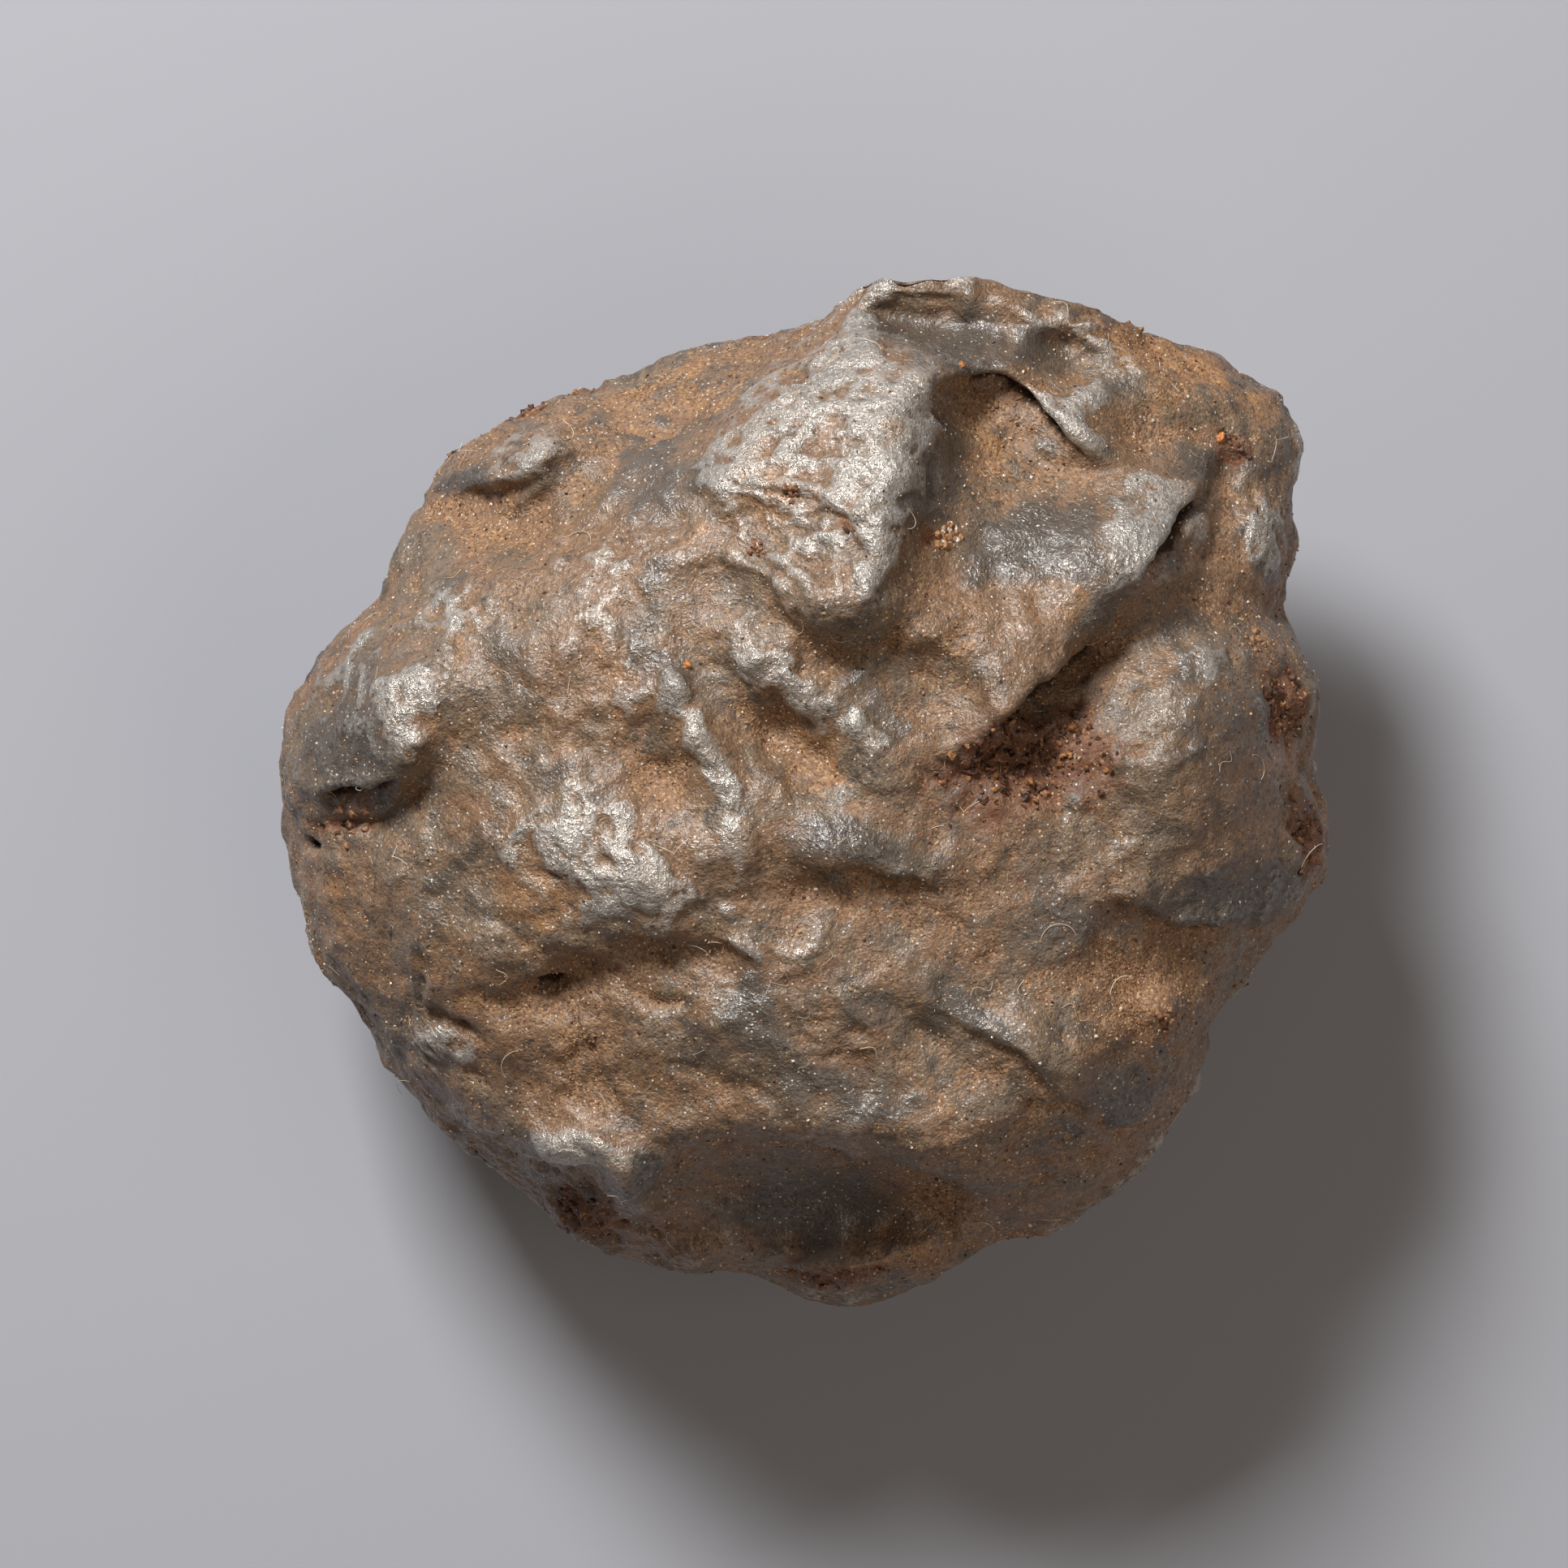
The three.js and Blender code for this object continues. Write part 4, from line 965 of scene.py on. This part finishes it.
def fibre_scatter(mask):
    """A tree that lays bent lint fibres on the skin."""
    numbers = {"Density": "Float", "Length": "Float", "Width": "Float", "Seed": "Int"}
    tree, given = new_scatter("fibres", numbers)
    node = partial(add_node, tree)
    points = scattered_points(tree, given, mask)
    thin = node("ShaderNodeMath", {0: given["Width"], 1: given["Length"]}, operation="DIVIDE")
    half = node("ShaderNodeMath", {0: thin, 1: 0.5}, operation="MULTIPLY")
    ring = node("GeometryNodeCurvePrimitiveCircle", {"Resolution": FIBRE_SIDES, "Radius": half})
    shapes = node("GeometryNodeJoinGeometry").node
    for first, second in FIBRE_BENDS:
        bend = node(
            "GeometryNodeCurvePrimitiveBezierSegment",
            {
                "Resolution": FIBRE_STEPS,
                "Start": (0, 0, 0),
                "Start Handle": first,
                "End Handle": second,
                "End": (1, 0, 0),
            },
        )
        thread = node("GeometryNodeCurveToMesh", {"Curve": bend, "Profile Curve": ring})
        tree.links.new(node("GeometryNodeGeometryToInstance", {0: thread}), shapes.inputs[0])
    size = node("FunctionNodeRandomValue", {2: 0.35, 3: 1.0, "Seed": given["Seed"]}, output=1)
    scale = node("ShaderNodeMath", {0: size, 1: given["Length"]}, operation="MULTIPLY")
    spin = node("FunctionNodeRandomValue", {2: 0.0, 3: 2 * math.pi, "Seed": given["Seed"]}, output=1)
    about = node("ShaderNodeCombineXYZ", {"Z": spin})
    turn = node(
        "FunctionNodeRotateRotation",
        {0: points["Rotation"], 1: node("FunctionNodeEulerToRotation", {0: about})},
        rotation_space="LOCAL",
    )
    lying = node(
        "GeometryNodeInstanceOnPoints",
        {
            "Points": points["Points"],
            "Instance": shapes.outputs[0],
            "Pick Instance": True,
            "Rotation": turn,
            "Scale": scale,
        },
    )
    return end_scatter(tree, given, lying)


def single_crumbs(colours):
    """A piece with the heaps of crumbs, each let into the skin where it was caught."""
    skin = bpy.data.objects[SKIN]
    shape = bmesh.new()
    used = []
    for number, ((x, y), heap, count, largest, colour) in enumerate(CRUMBS):
        if colour not in used:
            used.append(colour)
        for step in range(count):
            way = GOLDEN_ANGLE * step + number
            out = 0.5 * heap * math.sqrt(step / count)
            width = largest * (1 - 0.55 * ((step * 0.618) % 1))
            place = (x + out * math.cos(way), y + out * math.sin(way))
            above = Vector((place[0] * MM, place[1] * MM, 2 * box_of_solid[1][2]))
            hit, place, facing, _ = skin.ray_cast(above, Vector((0, 0, -1)))
            if not hit:
                raise RuntimeError(f"crumb {step} of heap {number} is off the face")
            radius = 0.5 * width * MM
            ball = bmesh.ops.create_icosphere(shape, subdivisions=3, radius=radius)["verts"]
            rough = np.array([corner.co for corner in ball]) / MM + 10 * number + step
            swell = 1 + 0.7 * fractal(rough, 0.45 * width, 2, number)
            for corner, share in zip(ball, swell):
                corner.co = corner.co * share + place - facing * 0.1 * width * MM
            for face in {face for corner in ball for face in corner.link_faces}:
                face.material_index = used.index(colour)
                face.smooth = True
    mesh = bpy.data.meshes.new("single_crumbs")
    shape.to_mesh(mesh)
    shape.free()
    for colour in used:
        shade = getattr(colours, colour)
        mesh.materials.append(loose_material(colour + " crumb", shade, colours.soil, 0.5, 0.3))
    made = bpy.data.objects.new("single_crumbs", mesh)
    bpy.context.scene.collection.objects.link(made)
    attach(made, BODY)


def scatter_piece(name, tree, inputs):
    """A piece made of what a tree scatters over the skin."""
    made = bpy.data.objects.new(name, bpy.data.objects[SKIN].data)
    bpy.context.scene.collection.objects.link(made)
    modifier = made.modifiers.new(name, "NODES")
    modifier.node_group = tree
    for socket in tree.interface.items_tree:
        if socket.name in inputs:
            modifier[socket.identifier] = inputs[socket.name]
    view = bpy.context.evaluated_depsgraph_get()
    mesh = bpy.data.meshes.new_from_object(made.evaluated_get(view), depsgraph=view)
    made.modifiers.remove(modifier)
    made.data = mesh
    mesh.name = name
    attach(made, BODY)


class METEORITE_OT_skin(bpy.types.Operator):
    """Make the meteorite's weathered skin from its solid"""

    bl_idname = "meteorite.skin"
    bl_label = "Make Skin"

    def execute(self, context):
        sizes = context.scene.meteorite_skin
        skin = skin_of(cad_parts[NODE], sizes.cuts)
        shaped, marks = shape_skin(skin, sizes)
        made = to_object(SKIN, shaped, marks)
        made.data.materials.append(weathered_iron(context.scene.meteorite_colours))
        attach(made, BODY)
        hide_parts(NODE)
        return {"FINISHED"}


PER_SQUARE_CM = 1e4  # square centimetres in a square metre


class METEORITE_OT_grains(bpy.types.Operator):
    """Scatter loose soil grains over the skin"""

    bl_idname = "meteorite.grains"
    bl_label = "Scatter Soil Grains"

    def execute(self, context):
        loose = context.scene.meteorite_loose
        colours = context.scene.meteorite_colours
        thin = grain_scatter("grain", 1)
        heaped = grain_scatter("pile", 1)
        for name, tree, per_cm, colour, darker, roughness, step in (
            ("soil_grains", thin, 0.55 * loose.grains, colours.grain, colours.soil, 0.6, 0),
            ("dark_grains", thin, 0.25 * loose.grains, colours.rust, colours.dark, 0.6, 1),
            ("quartz_grains", thin, 0.20 * loose.grains, colours.lint, colours.grain, 0.18, 2),
            ("ochre_grains", heaped, loose.heaped, colours.ochre, colours.rust, 0.5, 3),
        ):
            inputs = {
                "Density": per_cm * PER_SQUARE_CM,
                "Smallest": 0.3 * loose.grain_size,
                "Largest": loose.grain_size,
                "Seed": loose.seed + step,
                "Material": loose_material(name.replace("_", " "), colour, darker, roughness, 0.2),
            }
            scatter_piece(name, tree, inputs)
        return {"FINISHED"}


class METEORITE_OT_crumbs(bpy.types.Operator):
    """Scatter rust crumbs in the rusted pits, and lay the small heaps in their places"""

    bl_idname = "meteorite.crumbs"
    bl_label = "Scatter Rust Crumbs"

    def execute(self, context):
        loose = context.scene.meteorite_loose
        colours = context.scene.meteorite_colours
        tree = grain_scatter("crumb", 2)
        for name, share, colour, darker, step in (
            ("rust_crumbs", 0.65, colours.rust, colours.dark, 0),
            ("soil_crumbs", 0.35, colours.ochre, colours.rust, 1),
        ):
            inputs = {
                "Density": share * loose.crumbs * PER_SQUARE_CM,
                "Smallest": 0.25 * loose.crumb_size,
                "Largest": loose.crumb_size,
                "Seed": loose.seed + step,
                "Material": loose_material(name.replace("_", " "), colour, darker, 0.6, 0.25),
            }
            scatter_piece(name, tree, inputs)
        single_crumbs(colours)
        return {"FINISHED"}


class METEORITE_OT_fibres(bpy.types.Operator):
    """Lay lint fibres on the face"""

    bl_idname = "meteorite.fibres"
    bl_label = "Lay Lint Fibres"

    def execute(self, context):
        loose = context.scene.meteorite_loose
        colours = context.scene.meteorite_colours
        inputs = {
            "Density": loose.fibres / 10 * PER_SQUARE_CM,
            "Length": loose.fibre_length,
            "Width": loose.fibre_width,
            "Seed": loose.seed,
            "Material": loose_material("cotton lint", colours.lint, colours.grain, 0.8, 1.0),
        }
        scatter_piece("lint_fibres", fibre_scatter("fibre"), inputs)
        return {"FINISHED"}


FLOOR_HALF_SIDE = 3.0
LAMPS = (  # name, place, side, watts and tint
    ("window from above the top edge", (-0.17, 0.34, 0.40), 0.15, 4.7, (1, 1, 1)),
    ("wide fill from the lower right", (0.34, -0.22, 0.45), 0.50, 1.05, (1, 0.89, 0.78)),
)
LAMPS_AIM = (0, 0, 0.03)
ROOM_TINT = (0.80, 0.69, 0.60, 1)
ROOM_STRENGTH = 0.11
CAMERA_PLACE = (-0.0012, 0.0009, 0.6)
RIM_HEIGHT = 0.020  # of the outline that the camera's width is measured at
SEEN_WIDTH = 0.0966
SENSOR_WIDTH = 36


class METEORITE_OT_stage(bpy.types.Operator):
    """Make the floor, the lights and the camera"""

    bl_idname = "meteorite.stage"
    bl_label = "Make Stage"

    def execute(self, context):
        scene = context.scene
        mesh = bpy.data.meshes.new("floor")
        half = FLOOR_HALF_SIDE
        mesh.from_pydata(
            [(-half, -half, 0), (half, -half, 0), (half, half, 0), (-half, half, 0)], [], [(0, 1, 2, 3)]
        )
        floor = bpy.data.objects.new("floor", mesh)
        scene.collection.objects.link(floor)
        material, _, shader = new_material("pale matt paper")
        shader.inputs["Base Color"].default_value = (*scene.meteorite_colours.floor, 1)
        shader.inputs["Roughness"].default_value = 0.9
        mesh.materials.append(material)

        for name, place, size, watts, tint in LAMPS:
            light = bpy.data.lights.new(name, "AREA")
            light.size = size
            light.energy = watts
            light.color = tint
            lamp = bpy.data.objects.new(name, light)
            lamp.location = place
            towards = Vector(LAMPS_AIM) - Vector(place)
            lamp.rotation_euler = towards.to_track_quat("-Z", "Y").to_euler()
            scene.collection.objects.link(lamp)

        world = bpy.data.worlds.new("soft room")
        world.use_nodes = True
        sky = world.node_tree.nodes["Background"]
        sky.inputs["Color"].default_value = ROOM_TINT
        sky.inputs["Strength"].default_value = ROOM_STRENGTH
        scene.world = world

        data = bpy.data.cameras.new("camera")
        data.sensor_width = SENSOR_WIDTH
        data.lens = SENSOR_WIDTH * (CAMERA_PLACE[2] - RIM_HEIGHT) / SEEN_WIDTH
        data.clip_start = 0.01
        data.clip_end = 20
        camera = bpy.data.objects.new("camera", data)
        camera.location = CAMERA_PLACE
        scene.collection.objects.link(camera)
        scene.camera = camera
        scene.view_settings.view_transform = "Standard"
        return {"FINISHED"}


class METEORITE_PT_panel(bpy.types.Panel):
    """The meteorite's settings and steps"""

    bl_label = "Iron Meteorite"
    bl_idname = "METEORITE_PT_panel"
    bl_space_type = "VIEW_3D"
    bl_region_type = "UI"
    bl_category = "Meteorite"

    def draw(self, context):
        layout = self.layout
        scene = context.scene
        for group in (scene.meteorite_skin, scene.meteorite_colours, scene.meteorite_loose):
            box = layout.box()
            for prop in group.bl_rna.properties:
                if prop.identifier not in ("rna_type", "name"):
                    box.prop(group, prop.identifier)
        for operator in OPERATORS:
            layout.operator(operator.bl_idname)


OPERATORS = (
    METEORITE_OT_stage,
    METEORITE_OT_skin,
    METEORITE_OT_grains,
    METEORITE_OT_crumbs,
    METEORITE_OT_fibres,
)
GROUPS = {
    "meteorite_skin": MeteoriteSkin,
    "meteorite_colours": MeteoriteColours,
    "meteorite_loose": MeteoriteLoose,
}
CLASSES = (*GROUPS.values(), *OPERATORS, METEORITE_PT_panel)


def register():
    for cls in CLASSES:
        bpy.utils.register_class(cls)
    for name, group in GROUPS.items():
        setattr(bpy.types.Scene, name, bpy.props.PointerProperty(type=group))


def unregister():
    for name in GROUPS:
        delattr(bpy.types.Scene, name)
    for cls in reversed(CLASSES):
        bpy.utils.unregister_class(cls)


def main():
    register()
    bpy.ops.meteorite.stage()
    bpy.ops.meteorite.skin()
    bpy.ops.meteorite.grains()
    bpy.ops.meteorite.crumbs()
    bpy.ops.meteorite.fibres()


if __name__ == "__main__":
    main()
